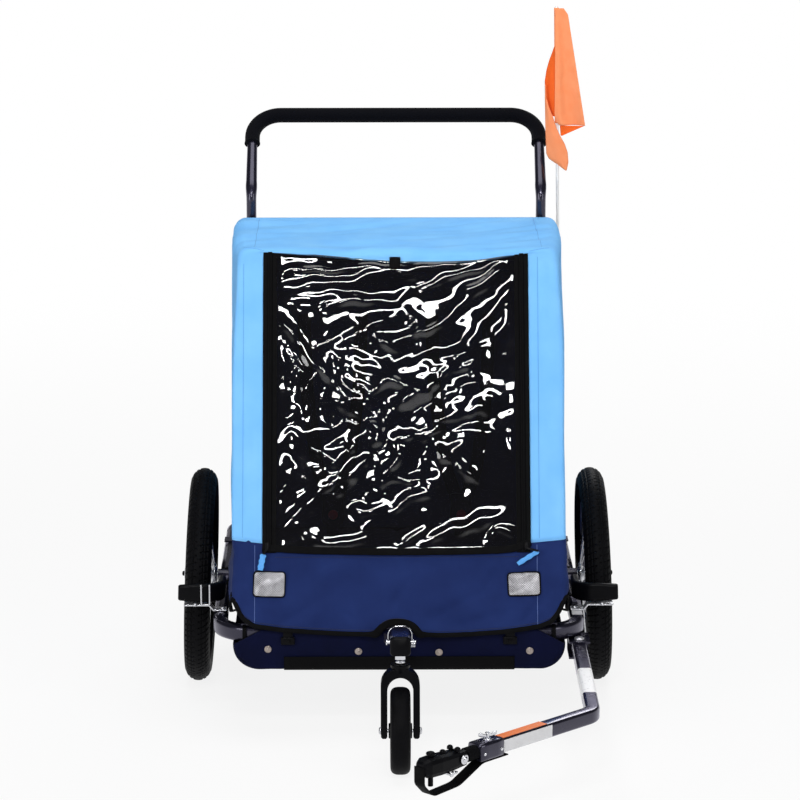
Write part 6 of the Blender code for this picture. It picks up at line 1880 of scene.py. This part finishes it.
for sign in (-1, 1):
    lobe = ((0.002, 0.0215), (0.008, 0.0225), (0.013, 0.0245), (0.0165, 0.0250))
    lobe = [by_hitch(-0.002 + sign * reach, -sign * 0.3 * reach, z) for reach, z in lobe]
    wing.append(drawn(lobe, rounded(0.0062, 0.0026, 0.0011, 3), sizes=[0.8, 0.9, 1.15, 0.7]))
wing.append(button_head(by_hitch(-0.002, 0, 0.0255), (0, 0, 1), 0.0042, 0.0022))
for x in (-0.020, 0.020):
    wing.append(button_head(by_hitch(x, 0.0155, -0.002), aside, 0.0030, 0.0018))
piece("coupler_sleeve_pins", joined(*wing), chrome, "hitch_arm", slot="zinc")
neck = [(0.0275, 0), (0.0275, 0.0120)]
for i in range(7):
    x = 0.0285 + 0.0034 * i
    neck += [(x, 0.0112), (x + 0.0010, 0.0124), (x + 0.0021, 0.0124), (x + 0.0031, 0.0112)]
neck += [(0.0525, 0.0105), (0.0530, 0)]
neck = aimed(turned(neck, 32, closed=False), (1, 0, 0), ahead, arm_end)
tongue = [by_hitch(x, 0, 0) for x in (0.050, 0.056, 0.072, 0.078, 0.080)]
tongue = drawn(tongue, rounded(0.020, 0.012, 0.002, 3), sizes=[0.9, 1.0, 1.0, 0.9, 0.6])
piece(
    "coupler_neck_rubber",
    joined(neck, tongue),
    tyre_rubber,
    "hitch_arm",
    "coupler_neck",
    slot="neck_rubber",
    sharp=40.0,
)
finish_node(black_plastic, 0.0012, "coupler_head")
fittings = []
for x, y in ((0.078, 0.0085), (0.078, -0.0085), (0.104, 0.0)):
    fittings.append(button_head(by_hitch(x, y, 0.0155), (0, 0, 1), 0.0052, 0.0068))
piece("coupler_top_knobs", joined(*fittings), black_plastic, "coupler", slot="black_plastic")
ring = []
for radius, rise in ((0.0085, 0.0022), (0.0052, 0.0050)):
    ring.append(button_head(by_hitch(0.070, 0.0168, 0.001), aside, radius, rise))
    ring.append(button_head(by_hitch(0.070, -0.0168, 0.001), -aside, radius, rise))
fittings = ring + [rod(by_hitch(0.100, 0.0165, -0.017), by_hitch(0.100, -0.004, -0.019), 0.0026, 12)]
fittings.append(button_head(by_hitch(0.100, 0.0165, -0.017), aside, 0.0046, 0.0030))
fittings.append(button_head(by_hitch(0.088, 0.0120, -0.0165), (0, 0, -1), 0.0050, 0.0040))
piece("coupler_bolts", joined(*fittings), chrome, "coupler", slot="zinc")
pin_foot, pin_collar, pin_head = (by_hitch(0.070 + 0.062, 0, z) for z in (-0.033, 0.0173, 0.0203))
drop_pin = [rod(pin_foot, pin_collar, 0.0043, 24), rod(pin_collar, pin_head, 0.0050, 24)]
drop_pin.append(button_head(pin_head, (0, 0, 1), 0.0075, 0.0050))
piece("hitch_drop_pin", joined(*drop_pin), black_plastic, "drop_pin", "hitch_pin", slot="zinc")
strap_corners = [
    (-0.040, -0.0170),
    (0.020, -0.0175),
    (0.075, -0.0430),
    (0.136, -0.0470),
    (0.1573, -0.0250),
    (0.1573, 0.0040),
]
strap_line = bent([by_hitch(x, 0, z) for x, z in strap_corners], [0.030, 0.045, 0.018, 0.012], 10)
strap = piece(
    "safety_strap_webbing",
    drawn(strap_line, rounded(0.0022, 0.023, 0.0009, 3), up=(0, 0, 1)),
    black_tape,
    None,
    "safety_strap",
    slot="black_binding",
)
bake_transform(strap)


# Flag: an orange polyester pennant sewn round a white fibreglass pole, which stands in a cup on the right
# rail. Its free side hangs in upright folds.
white_pole = surface("white pultruded fibreglass", "#f4f4f3", "#fdfdfc", 20.0, (0.3, 0.4), 0.8, 0.01)
# Thin polyester, plain woven and dyed orange: light shines through it, and its folds look deeper orange.
orange_cloth = surface(
    "orange polyester", "#ff8e56", "#ffa474", 24.0, (0.6, 0.75), 1.2, 0.04, Specular_IOR_Level=0.15
)
# The same cloth where it is turned away from the light: a deeper orange, painted in for its shade.
orange_in_painted_shade = surface(
    "orange polyester in painted shade", "#f5601c", "#fb7030", 24.0, (0.6, 0.75), 1.2, 0.04, Specular_IOR_Level=0.1
)
pole_y = 0.634616
pole_foot, pole_tip = Vector((0.3235, pole_y, 0.200)), Vector((0.3075, pole_y, 1.235))
pole = joined(
    rod(pole_foot, pole_tip - Vector((0, 0, 0.004)), 0.0030, 20),
    rod(pole_tip - Vector((0, 0, 0.004)), pole_tip, 0.0030, 20, 0.0014),
)
piece("flag_pole_rod", pole, white_pole, "flag", "flag_pole", slot="pole_fibreglass")
foot_up = (pole_tip - pole_foot).normalized()
cup = [
    (0.0, 0),
    (0.0, 0.0062),
    (0.004, 0.0065),
    (0.048, 0.0062),
    (0.050, 0.0056),
    (0.050, 0.0034),
    (0.030, 0.0032),
]
cup = turned(cup + [(0.030, 0)], 28, closed=False)
cup = aimed(cup, (1, 0, 0), foot_up, pole_foot + foot_up * 0.0005)
piece("flag_pole_cup", cup, black_plastic, "frame", slot="black_plastic")
# The front panel hangs from its edge beside the pole, and the rest of the cloth is folded back behind that
# edge and hangs down as a tail.
front_right = [(1.0059, 0.3645), (1.2199, 0.3296), (1.2318, 0.3211)]
front_edge = [(1.0066, 0.3150), (1.0120, 0.3100), (1.0261, 0.3056), (1.2318, 0.3056)]
fold_left = [
    (1.0222, 0.3027), (1.0416, 0.2948), (1.0583, 0.2892), (1.0706, 0.2872), (1.0900, 0.2868), (1.1112, 0.2899)
]
fold_left += [(1.1310, 0.2953), (1.1439, 0.3002), (1.1593, 0.3054)]
tail_left = [
    (0.9182, 0.3270), (0.9299, 0.3112), (0.9406, 0.2955), (0.9504, 0.2906), (0.9970, 0.2886), (1.0590, 0.2870)
]
tail_left += [(1.0861, 0.2870)]
tail_right = [
    (0.9182, 0.3300), (0.9341, 0.3334), (0.9532, 0.3317), (0.9698, 0.3259), (0.9844, 0.3175), (1.0009, 0.3096)
]
tail_right += [(1.0222, 0.3027), (1.0416, 0.2948), (1.0583, 0.2898), (1.0861, 0.2878)]


def hung_panel(low, high, left, right, lines, columns, depth):
    """Rows of points between two edges, each given as height and x, at depth(share across, height)."""
    rows = []
    for i in range(lines):
        z = high + (low - high) * i / (lines - 1)
        a, b = (float(np.interp(z, [p[0] for p in edge], [p[1] for p in edge])) for edge in (left, right))
        rows.append(
            [
                Vector((a + (b - a) * j / (columns - 1), depth(j / (columns - 1), z), z))
                for j in range(columns)
            ]
        )
    return rows


def front_depth(s, z):
    wide = (1.2318 - z) / 0.226
    wave = 0.0052 * wide * math.sin(math.pi * (2.1 * s**0.8 + 0.25)) * eased(s / 0.25)
    fine = 0.0012 * drifting(s * 3.0, z * 22.0, 0.0) + 0.0007 * drifting(s * 5.0, z * 60.0, 4.0)
    return 0.6262 - wave - fine * min(1.0, 3.0 * s)


def fold_depth(s, z):
    return 0.6278 + 0.0130 * (1.0 - s) ** 1.3 + 0.0010 * drifting(s * 3.0, z * 30.0, 2.0)


def tail_depth(s, z):
    return 0.6330 - 0.0060 * math.sin(2.6 * s) + 0.0018 * drifting(s * 2.5, z * 26.0, 6.0)


flag = hung_panel(1.0062, 1.2318, front_edge, front_right, 90, 40, front_depth)
flag = cloth("flag_pennant", flag, orange_cloth, "flag", "flag", slot="flag_cloth", thick=0.0006)
# The cloth folded back behind the edge is painted a deeper orange for its shade.
flag_back = hung_panel(1.0230, 1.1590, fold_left, [(1.0, 0.3057), (1.2, 0.3057)], 56, 14, fold_depth)
flag_back = cloth("flag_back_fold", flag_back, orange_in_painted_shade, "flag", slot="flag_cloth", thick=0.0006)
flag_tail = hung_panel(0.9182, 1.0850, tail_left, tail_right, 70, 18, tail_depth)
flag_tail = cloth("flag_tail", flag_tail, orange_cloth, "flag", slot="flag_cloth", thick=0.0006)
# The panel's lower corner is folded under, towards the tail, and painted a deeper orange for its shade.
under = [(0.9853, 0.3180), (1.0056, 0.3160)], [(0.9853, 0.3185), (1.0056, 0.3640)]
flag_under = hung_panel(
    0.9860, 1.0056, *under, 14, 18, lambda s, z: 0.6300 - 0.0040 * s - 0.10 * (z - 0.9853)
)
flag_under = cloth("flag_folded_corner", flag_under, orange_in_painted_shade, "flag", slot="flag_cloth", thick=0.0006)
sleeve_rows = [[] for _ in range(17)]
for n in range(60):
    z = 1.232 - 0.222 * n / 59
    pole_x = 0.3235 - 0.0160 * (z - 0.200) / 1.035
    for k in range(17):
        turn = math.pi * (k / 16) * 2.0
        sleeve_rows[k].append(Vector((pole_x + 0.0042 * math.sin(turn), pole_y - 0.0042 * math.cos(turn), z)))
sleeve = cloth("flag_sleeve", sleeve_rows, orange_cloth, "flag", slot="flag_cloth", thick=0.0006)


low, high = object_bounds()
